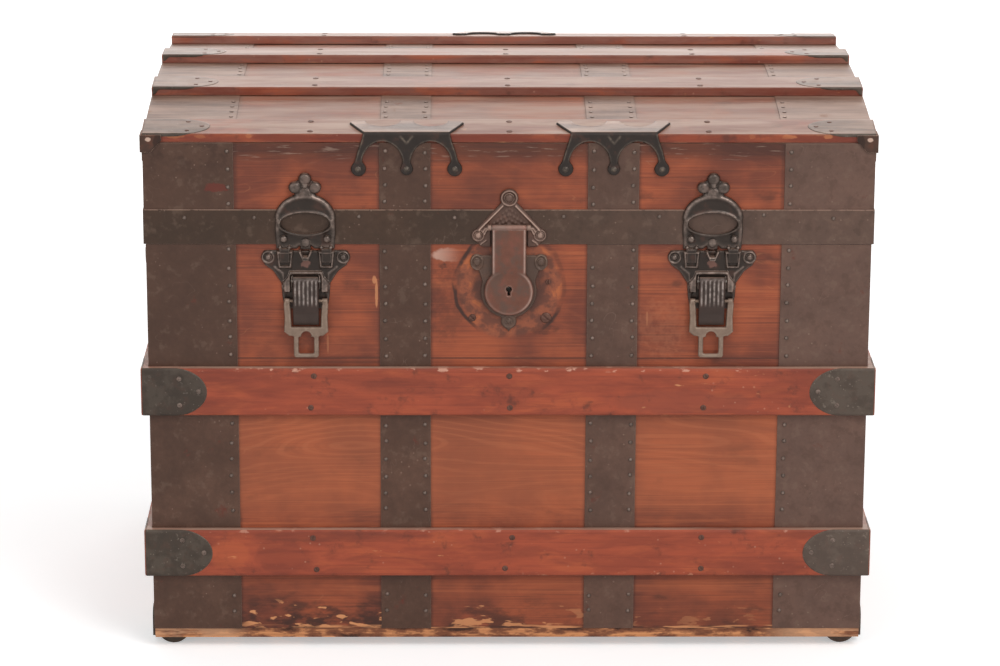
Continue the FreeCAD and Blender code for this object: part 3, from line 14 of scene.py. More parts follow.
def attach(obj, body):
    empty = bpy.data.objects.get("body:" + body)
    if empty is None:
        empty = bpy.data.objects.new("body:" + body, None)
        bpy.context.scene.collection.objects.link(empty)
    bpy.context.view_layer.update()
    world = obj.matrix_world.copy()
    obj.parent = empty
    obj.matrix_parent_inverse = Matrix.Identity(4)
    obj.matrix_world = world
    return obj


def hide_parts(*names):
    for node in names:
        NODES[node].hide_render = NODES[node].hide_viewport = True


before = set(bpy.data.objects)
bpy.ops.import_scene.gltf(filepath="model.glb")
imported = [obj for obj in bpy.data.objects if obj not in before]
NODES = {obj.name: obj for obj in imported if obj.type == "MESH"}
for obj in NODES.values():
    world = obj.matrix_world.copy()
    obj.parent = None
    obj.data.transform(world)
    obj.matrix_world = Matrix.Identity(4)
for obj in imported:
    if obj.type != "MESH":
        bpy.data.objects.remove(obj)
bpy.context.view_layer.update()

bl_info = {
    "name": "Slatted travel trunk",
    "version": (1, 0, 0),
    "blender": (4, 5, 0),
    "location": "View3D > Sidebar > Trunk",
    "description": "Finishes, nails, fittings and wear for a slatted travel trunk",
    "category": "Object",
}

MM = 0.001


def display(red, green, blue):
    """The linear colour of an eight-bit one: the usual power curve with a straight toe."""
    return tuple(
        (v / 12.92 if v <= 0.04045 else ((v + 0.055) / 1.055) ** 2.4)
        for v in (red / 255, green / 255, blue / 255))


def colour(label, text, red, green, blue):
    return bpy.props.FloatVectorProperty(
        name=label, description=text, subtype="COLOR", size=3, min=0.0, max=1.0,
        default=display(red, green, blue))


def length(label, text, size, low=0.0, high=200.0):
    return bpy.props.FloatProperty(
        name=label, description=text + ", in millimetres", default=size, min=low, max=high)


class TrunkColours(bpy.types.PropertyGroup):
    board: colour("Board", "Stained panel boards", 169, 86, 54)
    board_deep: colour("Board, deep", "Darker stain on the panel boards", 118, 60, 43)
    board_pale: colour("Board, rubbed", "Rubbed stain on the panel boards", 192, 106, 67)
    slat: colour("Slat", "Varnished slats", 170, 78, 50)
    slat_deep: colour("Slat, deep", "Darker varnish on the slats", 122, 53, 37)
    bare_wood: colour("Bare wood", "Wood where the stain is gone", 222, 152, 102)
    # Dark tint for dirt, also used for painted shade under the lid's front slat and beside the
    # metal's edges.
    grime: colour("Grime", "Dirt in corners and patches", 60, 38, 31)
    sheet: colour("Sheet metal", "Brown japanned sheet", 101, 72, 58)
    sheet_deep: colour("Sheet metal, deep", "Darker patches of the sheet", 84, 59, 47)
    sheet_rust: colour("Sheet rust", "Red rust through the japan", 108, 56, 44)
    rim: colour("Rim band", "Darker band round the lid's rim", 86, 62, 48)
    iron: colour("Iron", "Black fittings", 57, 47, 41)
    iron_green: colour("Black japan", "Greenish black clamps and brackets", 70, 58, 48)
    # Bare edges of the fittings, also used for painted highlights on the latch keepers.
    iron_worn: colour("Worn iron", "Bare edges of the fittings", 172, 150, 138)
    bail: colour("Bail", "Greyish bare metal of the bails", 134, 112, 96)
    lock: colour("Lock", "Red-brown lock and hasp", 121, 78, 63)
    paper: colour("Lining paper", "Ground of the lining paper", 206, 188, 156)
    paper_print: colour("Paper print", "Sprigs printed on the lining paper", 128, 96, 78)
    leather: colour("Leather", "Handle leather", 92, 52, 34)
    webbing: colour("Webbing", "Woven tabs of the tray", 168, 150, 118)
    steel: colour("Steel", "Pins and the bolt", 150, 142, 134)


class TrunkSizes(bpy.types.PropertyGroup):
    nail_radius: length("Nail radius", "Radius of the small band nails", 2.5)
    nail_rise: length("Nail rise", "Height of the nail heads", 1.2)
    nail_pitch: length("Nail pitch", "Distance between band nails", 20.5)
    screw_radius: length("Screw radius", "Radius of the slat screws", 3.6)
    grid: length("Casting grid", "Grid of the cast fittings", 0.7, 0.3, 3.0)
    wear: bpy.props.FloatProperty(
        name="Wear", description="How much of the edges is bare", subtype="FACTOR",
        default=0.85, min=0.0, max=1.0)


def sizes():
    """The sizes that the panel sets."""
    return bpy.context.scene.trunk_sizes


# ------------------------------------------------------------------------------------------
# Shader maths
# ------------------------------------------------------------------------------------------
class Wire:
    """One output of a shader node. Arithmetic on it adds Math nodes to its recipe."""

    def __init__(self, recipe, socket):
        self.recipe = recipe
        self.socket = socket

    def __abs__(self):
        return self.recipe.math("ABSOLUTE", self)

    def __neg__(self):
        return self.recipe.math("MULTIPLY", self, -1.0)

    def arithmetic(operation, swapped=False):
        def applied(self, other):
            return self.recipe.math(operation, *((other, self) if swapped else (self, other)))
        return applied

    __add__ = __radd__ = arithmetic("ADD")
    __sub__ = arithmetic("SUBTRACT")
    __rsub__ = arithmetic("SUBTRACT", swapped=True)
    __mul__ = __rmul__ = arithmetic("MULTIPLY")
    __truediv__ = arithmetic("DIVIDE")
    least = arithmetic("MINIMUM")
    most = arithmetic("MAXIMUM")


def tint_of(tint):
    """A colour by its name among the settings, by its eight-bit values, or a wire as it is."""
    if isinstance(tint, str):
        return getattr(bpy.context.scene.trunk_colours, tint)
    return display(*tint) if isinstance(tint, tuple) else tint


class Recipe:
    """A material or a world built node by node.

    where is the point on the object, in millimetres, and look the colour under the next coat.
    """

    def __init__(self, name, kind="materials"):
        self.owner = getattr(bpy.data, kind).new(name)
        self.owner.use_nodes = True
        self.tree = self.owner.node_tree
        self.tree.nodes.clear()
        self.look = None
        if kind == "materials":
            found = self.node("TexCoord", output="Object")
            self.where = self.node("VectorMath", {"operation": "SCALE"},
                                   {0: found, "Scale": 1 / MM})
            self.x, self.y, self.z = self.split(self.where)

    def node(self, kind, settings=None, inputs=None, output=0):
        made = self.tree.nodes.new("ShaderNode" + kind)
        for key, value in (settings or {}).items():
            setattr(made, key, value)
        for key, value in (inputs or {}).items():
            socket = made.inputs[key]
            if isinstance(value, Wire):
                self.tree.links.new(value.socket, socket)
            elif socket.type == "RGBA":
                socket.default_value = (*value[:3], 1.0)
            else:
                socket.default_value = value
        return Wire(self, made.outputs[output]) if made.outputs else made

    def math(self, operation, *values):
        return self.node("Math", {"operation": operation}, dict(enumerate(values)))

    def split(self, vector):
        made = self.node("SeparateXYZ", inputs={0: vector})
        return [Wire(self, output) for output in made.socket.node.outputs]

    def join(self, x, y, z):
        return self.node("CombineXYZ", inputs={0: x, 1: y, 2: z})

    def reach(self, vector):
        """The vector's length."""
        return self.node("VectorMath", {"operation": "LENGTH"}, {0: vector}, output="Value")

    def facing(self):
        """The face's own outward direction, as x, y and z."""
        return self.split(self.node("TexCoord", output="Normal"))

    def stretch(self, where, x, y, z):
        """The place divided by a different length on each axis."""
        return self.node("VectorMath", {"operation": "MULTIPLY"},
                         {0: where, 1: (1 / x, 1 / y, 1 / z)})

    def noise(self, size, detail=3.0, rough=0.55, warp=0.0, where=None):
        """Soft noise from 0 to 1 whose patches are about size across."""
        return self.node("TexNoise", inputs={
            "Vector": where or self.where, "Scale": 1.0 / size, "Detail": detail,
            "Roughness": rough, "Distortion": warp}, output="Fac")

    def grain(self, x, y, z, detail, rough, warp=0.0):
        """Noise whose patches have a size of their own on each axis."""
        return self.noise(1.0, detail, rough, warp, self.stretch(self.where, x, y, z))

    def fibres(self, along, long, thin, detail, rough, warp=0.0):
        """Noise drawn out along x or y."""
        sizes_of = (long, thin, thin) if along == "x" else (thin, long, thin)
        return self.grain(*sizes_of, detail, rough, warp)

    def cells(self, size):
        """Distance to the nearest scattered point, in cells."""
        return self.node("TexVoronoi", inputs={"Vector": self.where, "Scale": 1.0 / size},
                         output="Distance")

    def fade(self, value, low, high):
        """0 below low, 1 above high and a smooth S between."""
        return self.node("MapRange", {"interpolation_type": "SMOOTHSTEP"},
                         {"Value": value, 1: low, 2: high})

    def fall(self, value, low, high):
        """1 below low, 0 above high and a smooth S between."""
        return 1.0 - self.fade(value, low, high)

    def hair(self, noise, width):
        """1 on the thin lines where a noise passes its middle."""
        return self.fall(abs(noise - 0.5), 0.0, width)

    def patch(self, centre, reach, ragged, grain, where=None):
        """1 inside an ellipsoid about centre and 0 outside, with a ragged edge."""
        where = where or self.where
        moved = self.node("VectorMath", {"operation": "SUBTRACT"}, {0: where, 1: centre})
        far = self.reach(self.stretch(moved, *reach))
        return self.fall(far + (self.noise(grain, 4.0, where=where) - 0.5) * ragged, 0.72, 1.0)

    def both_sides(self, centre, reach, ragged, grain):
        """A patch on the right and its mirror image on the left."""
        return self.patch(centre, reach, ragged, grain, self.join(abs(self.x), self.y, self.z))

    def tone(self, share, first, second):
        return self.node("Mix", {"data_type": "RGBA"}, {0: share, 6: first, 7: second}, output=2)

    def shade(self, tint, factor):
        return self.node("VectorMath", {"operation": "SCALE"},
                         {0: tint_of(tint), "Scale": factor})

    def ground(self, share, first, second):
        """The first coat: two tints, the second where share is 1."""
        self.look = self.tone(share, tint_of(first), tint_of(second))

    def coat(self, share, tint):
        """Lays a tint over the look where share is 1."""
        self.look = self.tone(share, self.look, tint_of(tint))

    def lay(self, source, low, high, strength, tint):
        """Lays a tint of that strength where the source has gone from low to high."""
        share = self.fade(source, low, high) if low < high else self.fall(source, high, low)
        self.coat(share * strength, tint)

    def edges(self, radius):
        """1 on a sharp edge and 0 on a flat face, and the softened normal."""
        soft = self.node("Bevel", {"samples": 4}, {"Radius": radius * MM})
        flat = self.node("NewGeometry", output="Normal")
        same = self.node("VectorMath", {"operation": "DOT_PRODUCT"}, {0: soft, 1: flat},
                         output="Value")
        return self.fade(1.0 - same, 0.01, 0.16), soft

    def dust(self, share):
        """Pale dust and a painted sheen, thickest on the faces that look straight up."""
        drift = self.grain(130.0, 19.0, 60.0, 4.0, 0.6)
        thick = self.fade(drift, 0.3, 0.7) * share + share * 0.45
        # Partly real dust, partly a painted sheen standing in for the gloss on faces that look up.
        self.coat(self.fade(self.facing()[2], 0.8, 0.985) * thick, (182, 148, 129))

    def attribute(self, name):
        return self.node("Attribute", {"attribute_name": name}, output="Fac")

    def finish(self, rough, metal=0.0, bump=None, depth=0.2, normal=None, **fixed):
        """Closes the recipe: the look over a bump of that depth, on a softened normal or none."""
        links = {"Height": bump, "Distance": depth * MM}
        if normal is not None:
            links["Normal"] = normal
        inputs = {"Base Color": self.look, "Roughness": rough, "Metallic": metal,
                  "Normal": self.node("Bump", inputs=links)}
        inputs.update({key.replace("_", " "): value for key, value in fixed.items()})
        shader = self.node("BsdfPrincipled", inputs=inputs)
        self.node("OutputMaterial", inputs={"Surface": shader})
        return self.owner


# ------------------------------------------------------------------------------------------
# Finishes
# ------------------------------------------------------------------------------------------
def stained_boards(name, along="x", worn_front=False, worn_foot=False):
    """Stained softwood boards with the grain along one axis.

    Long thin noise makes the fibres, wider noise the figure, and round noise the uneven stain.
    """
    paint = Recipe(name)
    x, y, z = paint.x, paint.y, paint.z
    fibre = paint.fibres(along, 230, 2.3, 4.0, 0.65)
    figure = paint.fibres(along, 520, 13, 3.0, 0.6, 0.8)
    rings = paint.math("SINE", paint.fibres(along, 330, 66, 1.5, 0.3) * 105.0)
    fine = paint.fibres(along, 120, 1.2, 3.0, 0.6)
    cloud = paint.noise(90.0, 4.0)
    paint.ground(paint.fade(cloud, 0.36, 0.66), "board_deep", "board")
    paint.lay(figure, 0.5, 0.68, 0.42, "board_deep")
    paint.lay(figure, 0.43, 0.30, 0.4, "board_pale")
    paint.lay(rings, 0.5, 0.95, 0.12, "board_deep")
    paint.lay(-rings, 0.6, 1.0, 0.09, "board_pale")
    paint.lay(fine, 0.46, 0.66, 0.26, "board_deep")
    paint.lay(fine, 0.5, 0.34, 0.12, "board_pale")
    paint.lay(fibre, 0.5, 0.72, 0.4, "grime")
    paint.lay(paint.grain(60, 60, 26, 5.0, 0.6), 0.60, 0.72, 0.45, "grime")
    scratch = paint.hair(paint.grain(95, 95, 24, 2.0, 0.35, 0.3), 0.005)
    paint.coat(scratch * paint.fade(paint.noise(48.0, 2.0), 0.57, 0.62) * 0.12, "bare_wood")
    if along == "x":
        # Dirt and painted shade in a strip beside the edges of the bands and the corner plates.
        beside_bands = (abs(abs(x) - 116.5) - 28.5).least(306.0 - abs(x))
        paint.lay(beside_bands, 4.5, 0.3, 0.45, "grime")
    if worn_foot:
        worn_lower_half(paint, rings, worn_front)
    else:
        # Dirt and painted shadow in the strip just under the lid's front slat.
        shelf = paint.fade(z, 572.0, 590.0) * paint.fall(y, -265.0, -262.0)
        paint.coat(shelf * 0.72, "grime")
        paint.coat(paint.patch((-55, -267, 555), (75, 30, 40), 0.8, 40.0) * 0.16, "grime")
        rub = paint.fade(paint.grain(30, 30, 3, 4.0, 0.6), 0.58, 0.66)
        paint.coat(rub * shelf * 0.4, (176, 150, 132))
    paint.dust(0.55)
    if worn_front:
        front_marks(paint)
    return paint.finish(0.42 + cloud * 0.2, bump=fibre * -0.5 + figure * 0.3, depth=0.4,
                        Specular_IOR_Level=0.4)


def worn_lower_half(paint, rings, worn_front):
    """Pale middle field, and at the foot dirt, chipped stain and a bare edge."""
    x, z = paint.x, paint.z
    middle = paint.fade(z, 140.0, 190.0) * paint.fall(z, 270.0, 300.0)
    paint.coat(middle * 0.4, "board_pale")
    arcs = middle * (0.35 + paint.fade(z, 200.0, 250.0) * 0.65)
    paint.coat(paint.fade(-rings, 0.45, 0.95) * arcs * 0.15, (200, 118, 80))
    paint.coat(paint.fade(rings, 0.6, 1.0) * arcs * 0.08, "board_deep")
    paint.lay(z, 120.0, 88.0, 0.1, "grime")
    region = paint.fade(paint.noise(110.0, 2.0, 0.5), 0.46, 0.66) * 0.6
    if worn_front:
        left = paint.patch((-215, -BOARDS, 40), (100, 40, 75), 0.3, 40.0)
        centre = paint.patch((-10, -BOARDS, 30), (70, 40, 34), 0.4, 30.0) * 0.8
        region = region.most(left).most(centre) * (1.0 - paint.fade(x, 40.0, 110.0) * 0.5)
    low = paint.fall(z, 30.0, 88.0)
    dirt = paint.fade(paint.grain(40, 40, 19, 5.0, 0.62) + low * 0.2, 0.58, 0.76) * low * region
    paint.coat(dirt * 0.9, "grime")
    chips = paint.fade(paint.grain(25, 25, 8.5, 4.0, 0.5, 0.5) + paint.fall(z, 20.0, 62.0) * 0.12
                       + region * 0.06 - 0.035, 0.655, 0.70)
    paint.coat(chips * paint.fall(z, 50.0, 62.0) * region * 0.95, "bare_wood")
    foot_line = paint.fall(z + (paint.noise(14.0, 3.0) - 0.5) * 9.0, 22.0, 27.5)
    paint.coat(foot_line * 0.8, "grime")
    bare = paint.fade(paint.grain(70, 70, 5, 4.0, 0.55), 0.5, 0.6)
    paint.coat(bare * paint.fall(z, 25.0, 28.0) * 0.85, "bare_wood")
    paint.lay(abs(z - 348.5), 1.3, 0.3, 0.7, "grime")


# Marks on the front panel: middle (x, z), half sizes (x, z), strength and tint.
SCRATCHES = (
    ((-148.8, 425.0), (1.9, 19), 0.75), ((-151.0, 440.0), (2.9, 5.4), 0.75),
    ((156, 395.0), (1.4, 9), 0.3), ((-204, 366.0), (1.4, 13), 0.3))
FRONT_SPOTS = (
    ((40.0, 382.0), (20, 7), 0.45, "grime"), ((-76.0, 456.0), (7, 5), 0.6, "grime"),
    ((-72.0, 415.0), (24, 52), 0.3, "grime"), ((172.0, 385.0), (34, 40), 0.2, (190, 118, 84)),
    # The last is a darker patch just under the left bail.
    ((-226.0, 366.0), (26, 9), 0.25, "grime"))


def front_marks(paint):
    """Marks on the front panel: the scar of an older lock plate, rubbed spots and scratches."""
    x, z = paint.x, paint.z

    def mark(middle, half, ragged, grain):
        return paint.patch((middle[0], -BOARDS, middle[1]), (half[0], 9, half[1]), ragged, grain)

    ragged = (paint.noise(16.0, 4.0) - 0.5) * 14.0
    far = paint.reach(paint.join(x, 0.0, (z - 434.0) * 0.97))
    rust = paint.noise(17.0, 5.0, 0.6, 0.4)
    stained = paint.tone(paint.fade(rust, 0.40, 0.56), display(104, 62, 48),
                         display(150, 84, 58))
    stained = paint.tone(paint.fade(rust, 0.56, 0.66), stained, display(186, 104, 62))
    paint.lay(far + ragged * 0.7, 62.0, 55.0, 0.9, stained)
    wander = (paint.noise(40.0, 2.0) - 0.5) * 12.0
    outline = paint.fall(abs(far - 61.0 + wander), 1.0, 3.4) * paint.fade(
        abs(x) + ragged * 1.5, 26.0, 48.0) * paint.fade(paint.noise(26.0, 3.0), 0.34, 0.5)
    outline = outline * (1.0 - paint.fade(x, -10.0, 30.0) * paint.fade(z, 395.0, 415.0) * 0.7)
    paint.coat(outline * 0.95, "grime")
    paint.lay(far + ragged * 0.6, 47.0, 32.0, 0.7, "grime")
    for middle, half, strength in SCRATCHES:
        paint.coat(mark(middle, half, 0.7, 5.0) * strength, (206, 138, 94))
    for middle, half, strength, tint in FRONT_SPOTS:
        spot = mark(middle, half, 1.2, 8.0) * paint.fade(paint.noise(6.0, 4.0), 0.3, 0.6)
        paint.coat(spot * strength, tint)
    rubbed = mark((-66.0, 470.0), (22, 9.5), 0.9, 11.0) * paint.fall(x, -86.0, -50.0)
    paint.coat(rubbed * 0.62, (214, 178, 160))


# Smears on the front slats: middle (x, z), half sizes (x, z) and tint.
SLAT_SMEARS = (
    ((-190, 138), (120, 8), (92, 46, 36)), ((-318, 116), (26, 20), (204, 102, 58)),
    ((-255, 112), (40, 22), (104, 46, 34)), ((-120, 318), (50, 12), (104, 46, 34)),
    ((190, 300), (90, 16), (116, 60, 46)))


def varnished_slats(name, along="x", lid=False):
    """Red varnished hardwood with darker streaks, nicks and bare scuffs on its edges."""
    paint = Recipe(name)
    x, y, z = paint.x, paint.y, paint.z
    worn, soft = paint.edges(2.6)
    fibre = paint.fibres(along, 260, 2.6, 4.0, 0.6)
    cloud = paint.fibres(along, 150, 17, 5.0, 0.55, 0.4)
    paint.ground(paint.fade(cloud, 0.42, 0.66) * (0.75 if lid else 0.45),
                 paint.shade("slat", 0.68 if lid else 1.0), "slat_deep")
    if lid:
        for spot, half in ((-373, 11), (-343, 7), (311, 9), (355, 6), (270, 4), (-290, 4)):
            paint.coat(paint.patch((spot, -267.0, 606.0), (half, 5, 2.8), 1.4, 4.5) * 0.6,
                       (220, 140, 88))
        paint.look = paint.shade(paint.look, 0.74 + 0.1 * paint.fall(y, -266.0, -262.0))
        paint.coat(paint.fade(y, -200.0, 150.0) * 0.2 + paint.fade(y, -200.0, -120.0) * 0.26,
                   (178, 134, 118))
    paint.lay(paint.grain(74, 74, 22, 4.0, 0.6, 0.5), 0.5, 0.68, 0.45, (192, 96, 56))
    paint.lay(fibre, 0.5, 0.75, 0.55, "slat_deep")
    smear = paint.grain(62, 62, 11, 5.0, 0.6, 0.4)
    paint.lay(smear, 0.46, 0.62, 0.4, "slat_deep")
    paint.lay(smear, 0.46, 0.34, 0.22, (196, 92, 56))
    if not lid:
        paint.look = paint.shade(paint.look, 1.02 - paint.fade(z, 240.0, 280.0) * 0.04)
    dirt = paint.fade(paint.noise(22.0, 6.0, 0.62), 0.56, 0.74)
    paint.coat(dirt * 0.6, "grime")
    if along == "x":
        smoke = paint.fade(paint.grain(90, 90, 20, 5.0, 0.6), 0.42, 0.6)
        paint.coat(paint.fade(abs(x), 230.0, 345.0) * smoke * 0.6, "slat_deep")
    rub = paint.grain(30 if along == "x" else 9, 30, 9, 4.0, 0.6)
    paint.lay(rub + worn * 0.14, 0.69, 0.75, 0.7, "bare_wood")
    if not lid:
        brink = paint.fall(abs(z - 338.0), 1.6, 4.6).most(
            paint.fall(abs(z - 145.0), 1.4, 3.6) * 0.6)
        flaked = paint.fade(paint.grain(21, 21, 12, 4.0, 0.6) + brink * 0.06, 0.62, 0.67)
        paint.coat(brink * flaked * 0.85, (216, 160, 136))
        foot = paint.fall(abs(z - 92.0), 0.8, 3.6) * paint.fade(
            paint.grain(9, 9, 6, 4.0, 0.6), 0.63, 0.68)
        paint.coat(foot * 0.6, (206, 140, 108))
    if not lid and along == "x":
        for (u, v), (half_u, half_v), tint in SLAT_SMEARS:
            paint.coat(paint.patch((u, -274, v), (half_u, 9, half_v), 1.0, 22.0) * 0.32, tint)
    nicks = paint.fall(paint.cells(11.0), 0.07, 0.13) * paint.fade(
        paint.noise(60.0, 3.0), 0.5, 0.6)
    paint.coat(nicks * 0.35, (208, 160, 134))
    paint.coat(worn * paint.fade(rub, 0.36, 0.56) * 0.6, (184, 136, 112))
    paint.dust(0.7)
    return paint.finish(0.40 + cloud * 0.2, bump=fibre * -0.4 - dirt * 0.5, depth=0.4,
                        normal=soft, Specular_IOR_Level=0.45)


def raw_boards(name, dirty):
    """Unstained softwood, with dirt worked into it."""
    paint = Recipe(name)
    fibre = paint.grain(240, 3.0, 3.0, 4.0, 0.6)
    paint.ground(paint.fade(fibre, 0.4, 0.72), "bare_wood", (168, 108, 72))
    smear = paint.grain(26, 26, 9, 5.0, 0.62) + paint.fade(paint.z, 16.0, 23.0) * 0.10
    paint.lay(smear, 0.42, 0.56, dirty, (120, 72, 52))
    paint.lay(smear, 0.57, 0.70, dirty, "grime")
    if dirty > 0.5:
        clean = paint.fade(abs(paint.x), 290.0, 330.0) * paint.fade(
            paint.grain(60, 60, 9, 4.0, 0.55), 0.36, 0.5)
        paint.coat(clean * 0.6, (226, 172, 132))
    return paint.finish(0.68 + fibre * 0.12, bump=fibre * -1.0, depth=0.5,
                        Specular_IOR_Level=0.3)


def japanned_sheet(name, base, deep, rust, rusty=0.62):
    """Brown japanned sheet: cloudy lacquer, red rust blooms, pin holes, faint dents and painted
    light.
    """
    paint = Recipe(name)
    x, z = paint.x, paint.z
    cloud = paint.noise(70.0, 5.0, 0.6)
    grain = paint.noise(5.0, 3.0, 0.6)
    paint.ground(paint.fade(cloud, 0.30, 0.74), deep, base)
    paint.look = paint.shade(paint.look, 0.78 + grain * 0.44)
    # Painted light: darker on the upper left and lighter towards the right, as the light falls.
    aside, high = paint.fade(x, -140.0, 400.0), paint.fade(z, 310.0, 350.0)
    paint.coat((1.0 - aside) * high * 0.42, paint.shade(deep, 0.72))
    paint.coat(aside * 0.26, (140, 112, 102))
    patchy = paint.noise(13.0, 5.0, 0.62)
    paint.lay(patchy, 0.5, 0.66, 0.3, paint.shade(deep, 0.8))
    paint.lay(patchy, 0.46, 0.32, 0.22, (132, 108, 92))
    bloom = paint.fade(paint.noise(38.0, 6.0, 0.68), rusty, rusty + 0.09)
    paint.coat(bloom * 0.85, rust)
    if name == "sheet":
        paint.coat(paint.patch((-327, -268, 547), (15, 6, 6), 1.4, 7.0) * 0.7, (112, 48, 38))
        slanted = paint.join(x + z, z - x, 0.0)
        smear = paint.fade(paint.noise(34.0, 5.0, 0.65, where=slanted), 0.48, 0.6)
        paint.coat(smear * paint.fade(z, 545.0, 590.0) * (1.0 - aside) * 0.4, (52, 32, 25))
    specks = paint.fall(paint.cells(9.0), 0.06, 0.13)
    paint.coat(specks * paint.fade(cloud, 0.45, 0.6) * 0.55, (150, 124, 108))
    hair = paint.hair(paint.noise(26.0, 2.0, 0.4, 0.7), 0.004)
    paint.coat(hair * paint.fade(paint.noise(52.0, 2.0), 0.55, 0.62) * 0.25, (160, 136, 120))
    paint.dust(0.55)
    if name == "rim_sheet":
        paint.coat(paint.fade(z, 520.9, 521.5) * paint.fade(grain, 0.3, 0.5) * 0.32,
                   (196, 158, 138))
    worn, soft = paint.edges(1.0)
    paint.coat(worn * 0.5, (160, 134, 120))
    dents = paint.noise(46.0, 2.0)
    return paint.finish(0.42 + cloud * 0.16 + bloom * 0.2, 0.12,
                        bump=dents * 3.0 + grain * 0.25 - bloom * 0.2, depth=0.5, normal=soft,
                        Specular_IOR_Level=0.38)


def cast_iron(name, base, bright, rust_share=0.3, gloss=0.38, rust=(96, 60, 48), metal=0.45,
              mottle=None, steady=0.25, chips=0.0, dust=0.5):
    """Painted malleable iron: dark in its hollows, bare on its ridges, with a fine cast skin.

    The wear attribute of a made piece and the sharp edges of a plain one show bare metal, and on
    some castings the wear also paints a highlight.
    """
    paint = Recipe(name)
    grain = paint.noise(1.6, 3.0, 0.6)
    cloud = paint.noise(12.0, 4.0, 0.6)
    rub = paint.noise(5.0, 3.0, 0.6)
    worn, soft = paint.edges(0.9)
    # bare is the wear mask: bare metal, and where a casting's wear is raised for it, a painted
    # highlight.
    bare = (paint.attribute("wear").most(worn)
            * (paint.fade(cloud * 0.5 + rub * 0.7, 0.46, 0.74) * (1.0 - steady) + steady)
            * sizes().wear).least(1.0)
    paint.look = paint.shade(base, 0.66 + cloud * 0.68)
    if mottle:
        paint.lay(paint.noise(19.0, 4.0, 0.6), 0.44, 0.6, 0.7, mottle)
    paint.lay(cloud, 0.52, 0.66, rust_share, rust)
    if name == "iron":
        paint.coat(paint.both_sides((228, -268, 459.5), (6.0, 5, 5.0), 1.4, 4.0) * 0.55,
                   (150, 106, 94))
    if chips:
        paint.lay(paint.noise(8.0, 6.0, 0.72), 0.60, 0.68, chips, bright)
        paint.lay(paint.cells(6.0), 0.14, 0.07, chips, bright)
    paint.coat(bare, bright)
    if name == "cap_metal":
        # Painted shade along the cap's inner edge and a small painted highlight at its corner.
        paint.coat(paint.both_sides((391, -270, 599), (6, 9, 11), 0.6, 6.0) * 0.6, (42, 28, 23))
        paint.coat(paint.both_sides((401.5, -270, 603), (3.6, 9, 2.8), 0.8, 4.0) * 0.8,
                   (226, 192, 172))
    # Painted light on the black japan: darker on the upper left, lighter towards the right.
    if chips:
        x, upper = paint.x, paint.fade(paint.z, 200.0, 280.0)
        paint.coat(paint.fall(x, -200.0, 200.0) * upper * 0.2, (40, 28, 22))
        paint.coat(paint.fade(x, 100.0, 400.0) * (1.0 - upper * 0.6) * 0.2, (140, 116, 104))
    paint.dust(dust)
    return paint.finish(gloss + cloud * 0.18 - bare * 0.08, metal, bump=grain * 0.7 + cloud * 0.4,
                        depth=0.22, normal=soft, Specular_IOR_Level=0.5)


def bright_steel(name):
    """Bare steel, a little rusty in patches."""
    paint = Recipe(name)
    cloud = paint.noise(6.0, 4.0, 0.6)
    paint.ground(paint.fade(cloud, 0.5, 0.7) * 0.7, "steel", (96, 66, 52))
    return paint.finish(0.34 + cloud * 0.25, 0.85, bump=cloud, depth=0.15)


def printed_paper(name):
    """Lining paper: a staggered lattice of small sprigs in faded print, foxing and water marks."""
    wide, high = 34.0, 24.0
    paint = Recipe(name)
    x, y, z = paint.x, paint.y, paint.z
    facing = paint.facing()
    flat = paint.fade(abs(facing[2]), 0.6, 0.7)
    sideways = paint.fade(abs(facing[0]), 0.6, 0.7)
    across = x + (y - x) * sideways
    up = (z + (y - z) * flat) / high
    shift = paint.math("MODULO", paint.math("FLOOR", up), 2.0) * (wide / 2)
    u = (paint.math("FRACT", (across + shift + 100 * wide) / wide) - 0.5) * wide
    v = (paint.math("FRACT", up) - 0.5) * high
    far = paint.reach(paint.join(u, v, 0.0))
    petals = paint.math("COSINE", paint.math("ARCTAN2", v, u) * 5.0) * 1.4 + 4.2
    flower = paint.fall(far - petals, -0.5, 0.4)
    ring = paint.fall(abs(far - 8.2), 0.3, 0.8)
    paint.ground(flower * 0.55 + ring * 0.3, "paper", "paper_print")
    stripe = paint.fall(abs(u), 0.3, 0.8)
    paint.coat(stripe * paint.fade(far, 9.0, 10.0) * 0.2, "paper_print")
    paint.lay(paint.noise(120.0, 5.0, 0.6), 0.44, 0.7, 0.5, (158, 126, 88))
    fox = paint.fall(paint.cells(23.0) + paint.noise(6.0) * 0.15, 0.16, 0.24)
    paint.coat(fox * 0.35, (140, 98, 62))
    return paint.finish(0.86, bump=paint.noise(1.4, 3.0), depth=0.15, Specular_IOR_Level=0.2)


def grained_leather(name):
    """Handle leather: pebbled by small cells, polished by hands and dark in its creases."""
    paint = Recipe(name)
    crease = paint.grain(3, 9, 3, 4.0, 0.6)
    cloud = paint.noise(22.0, 4.0)
    paint.ground(paint.fade(cloud, 0.4, 0.64), "leather", paint.shade("leather", 0.62))
    paint.lay(crease, 0.6, 0.7, 0.5, (36, 22, 16))
    paint.coat(paint.attribute("wear") * 0.45, (158, 104, 68))
    return paint.finish(0.5 + cloud * 0.15, bump=crease * -0.8 - paint.cells(1.5) * 0.35,
                        depth=0.5, Specular_IOR_Level=0.4)


def woven_webbing(name):
    """Cotton webbing: warp and weft as two crossed sine waves over its width and its height."""
    paint = Recipe(name)
    weave = paint.math("SINE", paint.y * (2 * math.pi / 1.3)) * paint.math(
        "SINE", paint.z * (2 * math.pi / 1.0))
    paint.ground(paint.fade(paint.noise(9.0, 4.0), 0.45, 0.7) * 0.5, "webbing", (116, 96, 70))
    paint.look = paint.shade(paint.look, 0.9 + weave * 0.12)
    return paint.finish(0.85, bump=weave, depth=0.35, Specular_IOR_Level=0.2)


